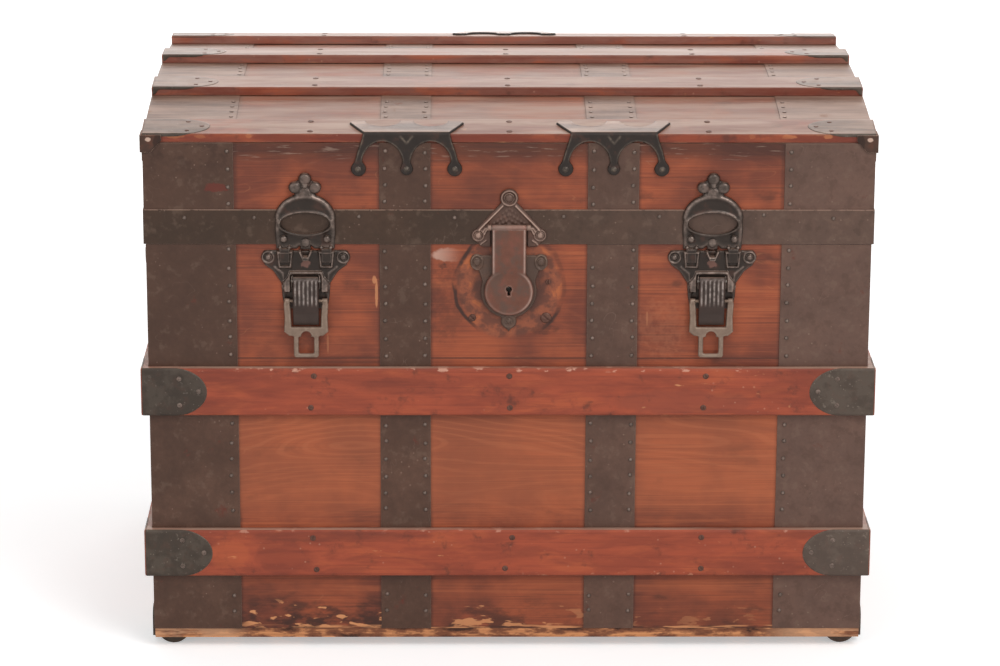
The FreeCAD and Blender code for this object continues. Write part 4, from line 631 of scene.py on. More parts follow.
# The maker and the settings of each finish, and the plain parts that it covers.
FINISHES = {
    "front_boards": (stained_boards, dict(worn_front=True, worn_foot=True), "body_front_board"),
    "long_boards": (stained_boards, dict(worn_foot=True), "body_back_board"),
    "end_boards": (stained_boards, dict(along="y", worn_foot=True),
                   "body_end_board_left body_end_board_right"),
    "lid_boards": (stained_boards, {}, "lid_front_board lid_back_board lid_top_panel"),
    "lid_end_boards": (stained_boards, dict(along="y"),
                       "lid_end_board_left lid_end_board_right"),
    "dirty_pine": (raw_boards, dict(dirty=0.9), "body_bottom_board bottom_runners"),
    "clean_pine": (raw_boards, dict(dirty=0.12), "tray_cleats tray_partition"),
    "slats": (varnished_slats, {}, "body_front_slats body_back_slats"),
    "lid_slats": (varnished_slats, dict(lid=True),
                  "lid_slat_front lid_slat_second lid_slat_third lid_slat_back"),
    "end_slats": (varnished_slats, dict(along="y"), "body_end_slats"),
    "paper": (printed_paper, {}, "body_lining lid_lining tray_frame tray_floor"),
    "sheet": (japanned_sheet, dict(base="sheet", deep="sheet_deep", rust="sheet_rust"),
              "body_bands body_corner_plates_front body_corner_plates_back lid_bands"
              " lid_corner_plates lid_end_covers"),
    "rim_sheet": (japanned_sheet, dict(base="rim", deep=(68, 50, 38), rust=(88, 54, 42),
                                       rusty=0.64), "lid_rim_band"),
    "black_japan": (cast_iron, dict(base="iron_green", bright=(156, 142, 128), rust_share=0.2,
                                    gloss=0.4, metal=0.2, mottle=(90, 78, 67), chips=0.4),
                    "body_slat_clamps lid_slat_clamps handle_caps bottom_corner_shoes"
                    " lid_brackets"),
    "cap_metal": (cast_iron, dict(base=(82, 59, 49), bright=(210, 176, 152), rust_share=0.4,
                                  gloss=0.3, rust=(112, 64, 46), metal=0.5, steady=0.7,
                                  dust=0.6), "lid_corner_caps"),
    "iron": (cast_iron, dict(base="iron", bright="iron_worn", gloss=0.25, metal=0.5,
                             steady=0.35),
             "latch_base_left latch_base_right latch_keeper_left latch_keeper_right"
             " hinge_body_leaves hinge_lid_leaves lock_plate"),
    "lever_metal": (cast_iron, dict(base=(72, 58, 52), bright=(178, 164, 156), rust_share=0.2),
                    "latch_lever_left latch_lever_right"),
    "bail_metal": (cast_iron, dict(base="bail", bright=(164, 142, 126), rust_share=0.4,
                                   gloss=0.42, rust=(104, 84, 68)),
                   "latch_bail_left latch_bail_right"),
    "lock_metal": (cast_iron, dict(base="lock", bright=(206, 174, 160), rust_share=0.5,
                                   gloss=0.40, rust=(134, 78, 66), mottle=(100, 80, 70),
                                   steady=0.8), "hasp hasp_plate"),
    "leather": (grained_leather, {}, "handle_straps"),
    "webbing": (woven_webbing, {}, "tray_lift_tabs"),
    "steel": (bright_steel, {}, "hasp_pin hinge_pins latch_pins lock_case lock_bolt"),
    "bracket_iron": (cast_iron, dict(base=(50, 41, 36), bright=(148, 132, 116), gloss=0.3,
                                     metal=0.4), ""),
    "plate_metal": (cast_iron, dict(base=(94, 70, 60), bright=(214, 180, 162), rust_share=0.4,
                                    rust=(112, 74, 60), steady=0.8), ""),
    "lock_plate_metal": (cast_iron, dict(base=(90, 68, 57), bright=(158, 132, 114),
                                         rust_share=0.4, gloss=0.42, rust=(104, 68, 50),
                                         metal=0.25), ""),
    "dark_screws": (cast_iron, dict(base=(92, 58, 47), bright=(140, 104, 88), rust_share=0.5,
                                    gloss=0.42, dust=0.12), ""),
    # Dark metal with pale tops: on domed heads this paints a highlight on top and a shaded ring
    # round the foot, besides the rubbing.
    "nail_metal": (cast_iron, dict(base=(62, 47, 40), bright=(182, 160, 146), rust_share=0.4,
                                   gloss=0.32, metal=0.5, steady=0.5), ""),
}


def finish(name):
    """The finish of that name, made the first time that it is asked for."""
    maker, settings, _ = FINISHES[name]
    return bpy.data.materials.get(name) or maker(name, **settings)


# ------------------------------------------------------------------------------------------
# Surfaces
# ------------------------------------------------------------------------------------------
def piece(name, shells, body, material, stands_for=()):
    """One object from shells, each (points in mm, faces, wear), with its faces turned outward."""
    points, faces, wear, base = [], [], [], 0
    for shell_points, shell_faces, shell_wear in shells:
        points.append(shell_points)
        wear.append(np.broadcast_to(shell_wear, len(shell_points)))
        for block in shell_faces:
            faces.extend((np.asarray(block) + base).tolist())
        base += len(shell_points)
    mesh = bpy.data.meshes.new(name)
    mesh.from_pydata((np.concatenate(points) * MM).tolist(), [], faces)
    layer = mesh.attributes.new("wear", "FLOAT", "POINT")
    layer.data.foreach_set("value", np.concatenate(wear).astype(np.float32))
    work = bmesh.new()
    work.from_mesh(mesh)
    bmesh.ops.recalc_face_normals(work, faces=work.faces)
    work.to_mesh(mesh)
    work.free()
    mesh.polygons.foreach_set("use_smooth", np.full(len(mesh.polygons), True))
    mesh.validate()
    made = bpy.data.objects.new(name, mesh)
    bpy.context.scene.collection.objects.link(made)
    mesh.materials.append(finish(material))
    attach(made, body)
    if stands_for:
        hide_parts(*stands_for)
    return made


def relief(span, edge, form, place, step=None, sink=0.25):
    """A closed raised shape on a grid of two coordinates.

    edge(u, v) is the signed distance to the outline, below zero inside. form(u, v, depth) gives
    the height over the ground and the wear, where depth is the distance in from the outline.
    place(u, v, height) gives x, y and z. Cells that touch the inside are kept, their outer
    corners are drawn onto the outline, and a back at -sink and a wall close the shell.
    """
    step = step or sizes().grid
    left, right, low, high = span
    u, v = np.meshgrid(np.arange(left - step, right + 2 * step, step),
                       np.arange(low - step, high + 2 * step, step), indexing="ij")
    inside = edge(u, v) < 0
    for _ in range(2):
        apart = edge(u, v)
        slope_u = (edge(u + 0.05, v) - edge(u - 0.05, v)) / 0.1
        slope_v = (edge(u, v + 0.05) - edge(u, v - 0.05)) / 0.1
        size = np.maximum(slope_u ** 2 + slope_v ** 2, 0.2)
        push = np.where(inside, 0.0, np.clip(apart, 0.0, 1.6 * step)) / size
        u, v = u - push * slope_u, v - push * slope_v
    depth = np.where(inside, np.maximum(-edge(u, v), 0.0), 0.0)
    height, wear = form(u, v, depth)
    front = np.stack([part.ravel() for part in place(u, v, height)], axis=1)
    back = np.stack([part.ravel() for part in place(u, v, np.full_like(u, -sink))], axis=1)
    kept = inside[:-1, :-1] | inside[1:, :-1] | inside[:-1, 1:] | inside[1:, 1:]
    index = np.arange(u.size).reshape(u.shape)
    corners = np.stack([index[:-1, :-1], index[1:, :-1], index[1:, 1:], index[:-1, 1:]], axis=-1)
    quads = corners[kept]
    padded = np.pad(kept, 1)
    walls = []
    for near, far, first, second in (
            (padded[1:, 1:-1], padded[:-1, 1:-1], index[:, :-1], index[:, 1:]),
            (padded[1:-1, 1:], padded[1:-1, :-1], index[:-1, :], index[1:, :])):
        rim = near != far
        walls.append(np.stack([first[rim], second[rim], second[rim] + u.size,
                               first[rim] + u.size], axis=1))
    used = np.zeros(2 * u.size, bool)
    faces = np.concatenate([quads, quads[:, ::-1] + u.size, *walls])
    used[faces.ravel()] = True
    renumber = np.cumsum(used) - 1
    both = np.concatenate([front, back])[used]
    both_wear = np.concatenate([np.clip(wear, 0, 1).ravel(), np.zeros(u.size)])[used]
    return both, [renumber[faces]], both_wear


def directions(outward):
    """Unit outward directions, one in a row, and two more at right angles to each."""
    outward = outward / np.linalg.norm(outward, axis=1, keepdims=True)
    helper = np.where(np.abs(outward[:, 2:3]) > 0.7, [[1.0, 0, 0]], [[0, 0, 1.0]])
    one = np.cross(helper, outward)
    one /= np.linalg.norm(one, axis=1, keepdims=True)
    return outward, one, np.cross(outward, one)


def domes(places, outward, radius, rise, rings=3, sides=10, wear=0.7):
    """Many domed heads: circles of shrinking radius over each place, closed above and below."""
    places = np.asarray(places, float)
    outward, one, two = directions(np.broadcast_to(np.asarray(outward, float), places.shape))
    turn = np.linspace(0, 2 * math.pi, sides, endpoint=False)
    climb = np.concatenate([[-0.25], np.sin(np.linspace(0, math.pi / 2, rings + 1)[:-1])])
    reach = np.concatenate([[1.0], np.cos(np.linspace(0, math.pi / 2, rings + 1)[:-1])])
    radius = np.broadcast_to(np.asarray(radius, float), len(places))[:, None, None, None]
    rise = np.broadcast_to(np.asarray(rise, float), len(places))[:, None, None, None]
    ring = (np.cos(turn)[None, None, :, None] * one[:, None, None, :]
            + np.sin(turn)[None, None, :, None] * two[:, None, None, :])
    body = (places[:, None, None, :] + ring * reach[None, :, None, None] * radius
            + outward[:, None, None, :] * climb[None, :, None, None] * rise)
    tip = places[:, None, :] + outward[:, None, :] * rise[:, :, 0]
    count = (rings + 1) * sides
    points = np.concatenate([body.reshape(len(places), count, 3), tip], axis=1)
    first = (np.arange(rings)[:, None] * sides + np.arange(sides)[None, :]).ravel()
    after = (np.arange(rings)[:, None] * sides + (np.arange(sides) + 1)[None, :] % sides).ravel()
    quads = np.stack([first, after, after + sides, first + sides], axis=1)
    last = rings * sides + np.arange(sides)
    fan = np.stack([last, rings * sides + (np.arange(sides) + 1) % sides,
                    np.full(sides, count)], axis=1)
    floor = np.arange(sides)[None, ::-1]
    offset = (np.arange(len(places)) * (count + 1))[:, None, None]
    # The wear climbs steeply to each tip: a rubbed top that also serves as a painted highlight.
    shade = np.tile(np.concatenate([np.repeat(climb.clip(0) ** 2 * wear, sides), [wear]]),
                    len(places))
    return points.reshape(-1, 3), [(block[None] + offset).reshape(-1, block.shape[1])
                                   for block in (quads, fan, floor)], shade


def slotted(place, outward, radius, rise, turn, slot=0.13):
    """One screw head: a shallow dome on a polar grid, less a straight groove across it."""
    rings, sides = 7, 28
    around, out = np.meshgrid(np.linspace(0, 2 * math.pi, sides, endpoint=False),
                              np.linspace(0, 1, rings), indexing="ij")
    height = np.sqrt(np.clip(1.15 - out ** 2 * 0.9, 0, None)) * rise
    groove = np.exp(-((np.sin(around - turn) * out) / slot) ** 4)
    height = height * (1 - 0.85 * groove)
    height[:, -1] = -0.2
    outward, one, two = (rows[0] for rows in directions(np.array([outward], float)))
    points = (np.asarray(place, float) + (out * np.cos(around) * radius)[..., None] * one
              + (out * np.sin(around) * radius)[..., None] * two + height[..., None] * outward)
    keep = points[:, 1:].reshape(-1, 3)
    middle = points[:, 0].mean(axis=0)[None]
    width = rings - 1
    first = np.arange(sides)[:, None] * width + np.arange(width - 1)[None, :]
    after = ((np.arange(sides) + 1) % sides)[:, None] * width + np.arange(width - 1)[None, :]
    quads = np.stack([first, first + 1, after + 1, after], axis=-1).reshape(-1, 4)
    hub = np.stack([np.full(sides, sides * width), np.arange(sides) * width,
                    ((np.arange(sides) + 1) % sides) * width], axis=1)
    rim = (np.arange(sides) * width + width - 1)[None, :]
    wear = np.append(((out < 0.9) * (1 - groove) * 0.5)[:, 1:].ravel(), 0.0)
    return np.concatenate([keep, middle]), [quads, hub, rim], wear


def disc(u, v, centre_u, centre_v, radius):
    return np.hypot(u - centre_u, v - centre_v) - radius


def oval(u, v, centre_u, centre_v, half_u, half_v):
    """Near enough the distance to an ellipse: its implicit value over the length of its slope."""
    a, b = (u - centre_u) / half_u, (v - centre_v) / half_v
    level = np.hypot(a, b)
    slope = np.hypot(a / half_u, b / half_v) / np.maximum(level, 1e-6)
    return (level - 1) / np.maximum(slope, 1e-3)


def block(u, v, left, right, low, high, corner=0.0):
    """Signed distance to a rectangle with rounded corners."""
    du = np.abs(u - (left + right) / 2) - (right - left) / 2 + corner
    dv = np.abs(v - (low + high) / 2) - (high - low) / 2 + corner
    return (np.hypot(np.maximum(du, 0), np.maximum(dv, 0)) + np.minimum(np.maximum(du, dv), 0)
            - corner)


def shape(u, v, corners):
    """Signed distance to a closed outline of straight sides."""
    inside = np.zeros(u.shape, bool)
    for (u0, v0), (u1, v1) in zip(corners, corners[1:] + corners[:1]):
        with np.errstate(divide="ignore", invalid="ignore"):
            at = (u1 - u0) * (v - v0) / (v1 - v0) + u0
        inside ^= ((v0 > v) != (v1 > v)) & (u < at)
    apart = line(u, v, *corners, corners[0])
    return np.where(inside, -apart, apart)


def mirrored(*right):
    """A closed outline from its right half, given from one end to the other."""
    return [(-right[0][0], right[0][1]), *right, *((-u, v) for u, v in right[:0:-1])]


def line(u, v, *stops):
    """Distance to a line through the stops."""
    apart = np.full(u.shape, 1e9)
    for (u0, v0), (u1, v1) in zip(stops, stops[1:]):
        side_u, side_v = u1 - u0, v1 - v0
        share = np.clip(((u - u0) * side_u + (v - v0) * side_v) / (side_u ** 2 + side_v ** 2),
                        0, 1)
        apart = np.minimum(apart, np.hypot(u - u0 - share * side_u, v - v0 - share * side_v))
    return apart


def blend(first, second, reach):
    """The union of two outlines with a fillet of about reach between them."""
    share = np.clip(0.5 + 0.5 * (second - first) / reach, 0, 1)
    return second * (1 - share) + first * share - reach * share * (1 - share)


def bead(distance, width):
    """A round ridge: 1 at distance zero and nearly 0 past the width."""
    return np.exp(-(distance / (0.55 * width)) ** 2)


def ramp(value, low, high):
    share = np.clip((value - low) / (high - low), 0, 1)
    return share * share * (3 - 2 * share)


def rounded(depth, radius):
    """Height of a quarter-round edge: a circle's arc up to the radius, then flat."""
    share = np.clip(depth / radius, 0, 1)
    return radius * np.sqrt(1 - (1 - share) ** 2)


def on_front(level, centre=0.0):
    """Places a relief upright on the front, its ground at y = -level."""
    return lambda u, v, height: (u + centre, -(level + height), v + 0 * u)


def stacked(x, y, z):
    """Points from their coordinates, where a single number holds for all of them."""
    return np.stack(np.broadcast_arrays(x, y, z), axis=-1)


def tube(grid):
    """Point numbers and side faces of a grid that closes on itself along its second axis."""
    index = np.arange(grid.size).reshape(grid.shape)
    beside = np.roll(index, -1, axis=1)
    quads = np.stack([index[:-1], index[1:], beside[1:], beside[:-1]], axis=-1).reshape(-1, 4)
    return index, quads


def heads(spots, level, radius, rise, rings=5, sides=18, wear=0.7, centre=0.0):
    """Domed heads on the front: spots are (x, z), their ground at y = -level."""
    return domes([(centre + x, -level, z) for x, z in spots], (0, -1, 0), radius, rise, rings,
                 sides, wear)


def walk(angle):
    """Run and climb of a path in steps of 0.1 that leans by these angles."""
    return np.cumsum(np.cos(angle)) * 0.1, np.cumsum(np.sin(angle)) * 0.1


def sweep(profile, across, bulge=None):
    """A closed outline of (y, z) points carried along x, with both ends filled.

    bulge(x, share) moves each ring's points along the outline's outward normal.
    """
    outline = np.asarray(profile, float)
    step = np.roll(outline, -1, axis=0) - np.roll(outline, 1, axis=0)
    normal = np.stack([step[:, 1], -step[:, 0]], axis=1)
    normal /= np.linalg.norm(normal, axis=1, keepdims=True)
    area = np.sum(outline[:, 0] * np.roll(outline[:, 1], -1)
                  - np.roll(outline[:, 0], -1) * outline[:, 1])
    normal *= np.sign(area)
    share = np.linspace(0, 1, len(outline), endpoint=False)
    x, s = np.meshgrid(across, share, indexing="ij")
    out = bulge(x, s) if bulge else np.zeros_like(x)
    y = outline[None, :, 0] + out * normal[None, :, 0]
    z = outline[None, :, 1] + out * normal[None, :, 1]
    points = stacked(x, y, z).reshape(-1, 3)
    index, quads = tube(x)
    ends = np.stack([index[0][::-1], index[-1]])
    wear = np.clip(out / max(float(out.max()), 1e-6), 0, 1).ravel() if bulge else np.zeros(x.size)
    return points, [quads, ends], wear


def bar(y, z, radius, left, right, sides, rings=5):
    """A round bar along x."""
    turn = np.linspace(0, 2 * math.pi, sides, endpoint=False)
    ring = np.stack([y + radius * np.cos(turn), z + radius * np.sin(turn)], axis=1)
    return sweep(ring, np.linspace(left, right, rings))


def crown_height(y):
    """Height of the lid's sheet metal at y, a circle through both edges and the crown."""
    half, rise, edge = 266.5, 19.0, 598.0
    radius = (half * half + rise * rise) / (2 * rise)
    return edge + rise - radius + np.sqrt((radius + 0.8) ** 2 - np.asarray(y, float) ** 2)


# ------------------------------------------------------------------------------------------
# Pieces
# ------------------------------------------------------------------------------------------
BOARDS, SHEET, RIM = 266.5, 267.3, 268.1    # how far the front's three surfaces are from y = 0
BODY_SLATS = (90.0, 283.0)                  # foot of each slat round the body
SLAT_WIDTH = 56.0
# Middle, slope and top height of each lid slat, front to back.
LID_SLATS = ((-243.8, 0.129, 612.05), (-81.2, 0.043, 626.06), (81.2, -0.043, 626.06),
             (243.8, -0.129, 612.05))
HANDS = (-1, 1)                             # left and right, or front and back
LOCK_Z = 427.4                              # middle of the lock's disc


class PaintFrame(bpy.types.Operator):
    """Gives every plain part of the trunk its finish"""
    bl_idname = "trunk.paint_frame"
    bl_label = "Finishes of the plain parts"

    def execute(self, context):
        for name, (_, _, nodes) in FINISHES.items():
            for node in nodes.split():
                mesh = NODES[node].data
                if not mesh.materials:
                    mesh.materials.append(None)
                for number in range(len(mesh.materials)):
                    mesh.materials[number] = finish(name)
        return {"FINISHED"}


def crossed(columns, rows):
    """Every column crossed with every row."""
    return [part.ravel() for part in np.meshgrid(columns, rows)]


def front_and_back(front, radius, rise):
    """Heads on the front and their mirror images on the back."""
    return [domes(front, (0, -1, 0), radius, rise),
            domes(front * (1, -1, 1), (0, 1, 0), radius, rise)]


class BandNails(bpy.types.Operator):
    """Small nails along the edges of the sheet metal"""
    bl_idname = "trunk.band_nails"
    bl_label = "Nails of the bands"

    def execute(self, context):
        size = sizes()
        head = size.nail_radius, size.nail_rise
        rim_head = 2.4, 1.1
        rng = np.random.default_rng(7)
        columns = np.array([-94.0, -139.0, -314.0, 94.0, 139.0, 314.0])
        rows = np.arange(44.5, 478.0, size.nail_pitch)
        rows = rows[((rows < 84) | (rows > 150)) & ((rows < 279) | (rows > 343))]
        x, z = crossed(columns, rows)
        x, z = x + rng.normal(0, 0.5, x.size), z + rng.normal(0, 1.0, z.size)
        free = ~((np.abs(np.abs(x) - 94) < 3) & (z > 470))
        shells = front_and_back(stacked(x[free], -SHEET, z[free]), *head)
        end_y, end_z = crossed([-174.5, 174.5], rows)
        ends = np.concatenate([stacked(hand * 406.8, end_y, end_z) for hand in HANDS])
        shells.append(domes(ends, np.sign(ends) * (1, 0, 0), *head))
        piece("body_band_nails", shells, "trunk", "nail_metal")
        x, z = crossed(columns, np.arange(530.0, 592.0, size.nail_pitch * 0.96))
        x, z = x + rng.normal(0, 0.5, x.size), z + rng.normal(0, 1.0, z.size)
        shells = front_and_back(stacked(x, -SHEET, z), *head)
        rim = np.array([-363.0, -285, -168, -61, 61, 168, 285, 363])
        shells += front_and_back(stacked(rim, -RIM, 514 + rng.normal(0, 1.2, 8)), *rim_head)
        between_slats = [-200.0, -184, -166, -148, -130, -44, -26, -8, 10, 28, 46, 124, 142, 160,
                         178, 196]
        x, y = crossed([-314.0, -139, -94, 94, 139, 314], between_slats)
        x = x + rng.normal(0, 0.5, x.size)
        shells.append(domes(stacked(x, y, crown_height(y)), (0, 0, 1), size.nail_radius, 0.7))
        along_end = np.arange(-195.0, 215.0, 30.0)
        for hand in HANDS:
            under_edge = stacked(hand * 409.2, along_end, crown_height(along_end) - 8.0)
            shells.append(domes(under_edge, (hand, 0, 0), 1.9, 0.8))
            rim_end = stacked(hand * 409.2, np.linspace(-220, 220, 6), 514.0)
            shells.append(domes(rim_end, (hand, 0, 0), *rim_head))
        piece("lid_band_nails", shells, "lid", "nail_metal")
        return {"FINISHED"}


class SlatScrews(bpy.types.Operator):
    """Slotted screws through the slats"""
    bl_idname = "trunk.slat_screws"
    bl_label = "Screws of the slats"

    def execute(self, context):
        rng = np.random.default_rng(3)
        columns = (-222.0, 0.0, 222.0)

        def screw(place, outward):
            return slotted(place, outward, sizes().screw_radius, 0.6, rng.uniform(0, 3.1))

        shells = []
        for low in BODY_SLATS:
            rows = (low + 9.5, low + 46.5)
            for hand in HANDS:
                shells += [screw((x + rng.normal(0, 1.5), hand * 275.7, z + rng.normal(0, 0.6)),
                                 (0, hand, 0)) for x in columns for z in rows]
                shells += [screw((hand * 415.2, y, z), (hand, 0, 0))
                           for y in (-95.0, 95.0) for z in rows]
        piece("body_slat_screws", shells, "trunk", "dark_screws")
        shells = [screw((x, middle + step, top + step * lean), (0, -lean, 1))
                  for middle, lean, top in LID_SLATS for x in columns
                  if not (middle > 200 and x == 0) for step in (-15.0, 15.0)]
        piece("lid_slat_screws", shells, "lid", "dark_screws")
        return {"FINISHED"}


class SlatClamps(bpy.types.Operator):
    """Sheet clamps bent round the ends of the slats, with their nails"""
    bl_idname = "trunk.slat_clamps"
    bl_label = "Clamps of the slats"

    def execute(self, context):
        self.body_clamps()
        self.lid_clamps()
        return {"FINISHED"}

    @staticmethod
    def strap(span, place, step, reach, above, below, other, lip=0.0):
        """Two tongues that meet at a bend: a straight part, then a blunt pointed end."""
        tip = 42.0

        def edge(u, v):
            ahead = np.abs(u)
            far = np.where(u > 0, reach, other)
            drop = below + lip * ramp(9.0 - u, 0, 7) * (u > -1) - 3.0 * (u < -1) * (lip > 0)
            whole = np.where(v > 0, v - above, -v - drop)
            point = np.where(v > 0, oval(ahead, v, far - tip, 0, tip, above),
                             oval(ahead, v, far - tip, 0, tip, below))
            return np.where(ahead < far - tip, np.maximum(whole, ahead - far), point)

        def form(u, v, depth):
            return rounded(depth, 0.6) * 0.6, bead(depth - 0.5, 0.8) * 0.12

        return relief(span, edge, form, place, step, 0.1)

    def body_clamps(self):
        """Each clamp turns the corner and folds over both long edges of its slat."""
        rng = np.random.default_rng(11)
        half, thick, bend = 25.5, 2.5, 2.2
        path = np.linspace(-90, 90, 1801)
        along, out = walk(ramp(path, -bend, bend) * math.pi / 2)
        end_x = 415.25 - (out - out[0])
        front_y = (along - along[-1]) + 275.75
        shells, nails = [], []
        for low in BODY_SLATS:
            extra = 3.0 if low < 100 else 0.0
            middle = low + SLAT_WIDTH / 2
            for side in HANDS:
                for hand in HANDS:
                    def place(u, v, height, hand=hand, side=side, middle=middle):
                        turn = ramp(u, -bend, bend) * math.pi / 2
                        fold = np.clip(np.abs(v) - half, 0, 3.92) / thick
                        wide = np.minimum(np.abs(v), half) + (thick + height) * np.sin(fold)
                        height = height * np.cos(fold) - thick * (1 - np.cos(fold))
                        return (hand * (np.interp(u, path, end_x) + height * np.cos(turn)),
                                side * (np.interp(u, path, front_y) + height * np.sin(turn)),
                                np.sign(v) * wide + middle)
                    shells.append(self.strap((-77, 80, -30, 30), place, 1.5, 74.0 + extra, 29.2,
                                             29.2, 74.0))
                    for x, z in ((372.0, -15.5), (372.0, 15.5), (350.5 - extra, 0.5)):
                        turn = rng.uniform(0, 3.1)
                        nails.append(slotted((hand * x, side * 276.1, middle + z),
                                             (0, side, 0), 3.1, 0.45, turn))
                        nails.append(slotted((hand * 415.6, side * (x - 140.0), middle + z),
                                             (hand, 0, 0), 3.1, 0.5, turn))
        piece("body_clamp_straps", shells, "trunk", "black_japan", ("body_slat_clamps",))
        piece("body_clamp_screws", nails, "trunk", "nail_metal")

    def lid_clamps(self):
        """Each clamp turns down over the lid's end, with a lip over the slat's front edge."""
        bend = 2.0
        path = np.linspace(-90, 90, 1801)
        along, out = walk(ramp(path, -bend, bend) * math.pi / 2)
        end_x = 409.25 - (out - out[0])
        across_slat = np.linspace(-40, 40, 801)
        folded = ramp(-across_slat, 23.0, 24.4)
        shells, spots, ways = [], [], []
        for slat_y, lean, top in LID_SLATS:
            run, climb = walk(lean * (across_slat > -23.0) + folded * (math.pi / 2))
            run = run - np.interp(0, across_slat, run)
            climb = climb - np.interp(0, across_slat, climb)
            top_z = (along - along[-1]) + top
            for hand in HANDS:
                def place(u, v, height, hand=hand, slat_y=slat_y, run=run, climb=climb,
                          top_z=top_z):
                    turn = ramp(u, -bend, bend) * math.pi / 2
                    fold = np.interp(v, across_slat, folded) * (math.pi / 2)
                    up = height * np.sin(turn)
                    return (hand * (np.interp(u, path, end_x) + height * np.cos(turn)),
                            slat_y + np.interp(v, across_slat, run) - up * np.sin(fold),
                            np.interp(u, path, top_z) + up * np.cos(fold)
                            + np.interp(v, across_slat, climb))
                shells.append(self.strap((-24, 78, -36, 24), place, 1.4, 75.0, 22.6, 26.8, 22.0,
                                         6.0))
                for x, step in ((359.0, -13.5), (359.0, 13.5), (343.0, 0.0)):
                    spots.append((hand * x, slat_y + step, top + 0.4 + step * lean))
                    ways.append((0, -lean, 1))
        piece("lid_clamp_straps", shells, "lid", "black_japan", ("lid_slat_clamps",))
        piece("lid_clamp_nails", [domes(spots, ways, 2.7, 0.5, 4, 14)], "lid", "dark_screws")


class Brackets(bpy.types.Operator):
    """Three-pronged brackets bent over the lid's front and back slats"""
    bl_idname = "trunk.brackets"
    bl_label = "Lid brackets"

    def execute(self, context):
        def edge(u, v):
            down = shape(u, v, mirrored((48, -2), (50.5, 8), (54.5, 20), (57.5, 31), (58, 38)))
            up = shape(u, v, mirrored((48, 1), (56, -14), (64, -30), (60, -36)))
            for side in (-27.0, 27.0):
                down = np.maximum(down, -oval(u, v, side, 34, 22.6, 25.5))
                down = np.maximum(down, -block(u, v, side - 22.6, side + 22.6, 34, 60))
                up = np.maximum(up, -oval(u, v, side, -36, 19, 17))
            for foot, radius in ((-53.6, 8.4), (0.0, 7.0), (53.6, 8.4)):
                down = blend(down, disc(u, v, foot, 40, radius), 3.0)
                up = blend(up, disc(u, v, foot * 1.02, -31.0, 5.6), 2.0)
            return np.minimum(down, up)

        def form(u, v, depth):
            rim = bead(depth - 1.0, 1.5)
            # vee paints a highlight in the V at the top of the middle web.
            vee = bead(line(np.abs(u), v, (0, 10.5), (6.5, 2.5)), 2.0)
            return (rounded(depth, 1.5) * 1.3 + 0.2 * rim,
                    rim * 0.55 * (v > 1) * (1 - ramp(v, 26, 34)) + vee * 0.7)

        path = np.linspace(-40, 52, 921)
        lean = math.radians(7.41)
        turn = ramp(path, -1.8, 1.8) * (math.pi / 2 - lean) + lean
        y, z = (-part for part in walk(turn))
        y, z = y - np.interp(30, path, y) - 267.85, z - np.interp(0, path, z) + 609.0
        shells, nails = [], []
        for centre, side in ((-114.5, -1), (116.5, -1), (0.0, 1)):
            def place(u, v, height, centre=centre, side=side):
                angle = np.interp(v, path, turn)
                return (u + centre, side * -(np.interp(v, path, y) - height * np.sin(angle)),
                        np.interp(v, path, z) + height * np.cos(angle) + 0.0 * u)

            shells.append(relief((-66, 66, -38, 50), edge, form, place, sizes().grid * 0.9,
                                 0.15))
            foot_y = np.interp(40, path, y) - 1.6
            shells += [domes([(centre + foot, side * -foot_y, 569.0)], (0, side, 0), 3.0, 1.6, 4,
                             16) for foot in (-54.0, 0.0, 54.0)]
            for x in (-59.5, -51.5, -4.5, 4.5, 51.5, 59.5):
                at = -29.5 if abs(x) > 9 else -25.0
                nails.append((centre + x, side * -(np.interp(at, path, y) - 0.1),
                              np.interp(at, path, z) + 1.1))
        piece("lid_bracket_nails", [domes(nails, (0, 0, 1), 2.2, 0.8, 3, 12, 0.0)], "lid",
              "dark_screws")
        piece("lid_bracket_castings", shells, "lid", "bracket_iron", ("lid_brackets",))
        return {"FINISHED"}


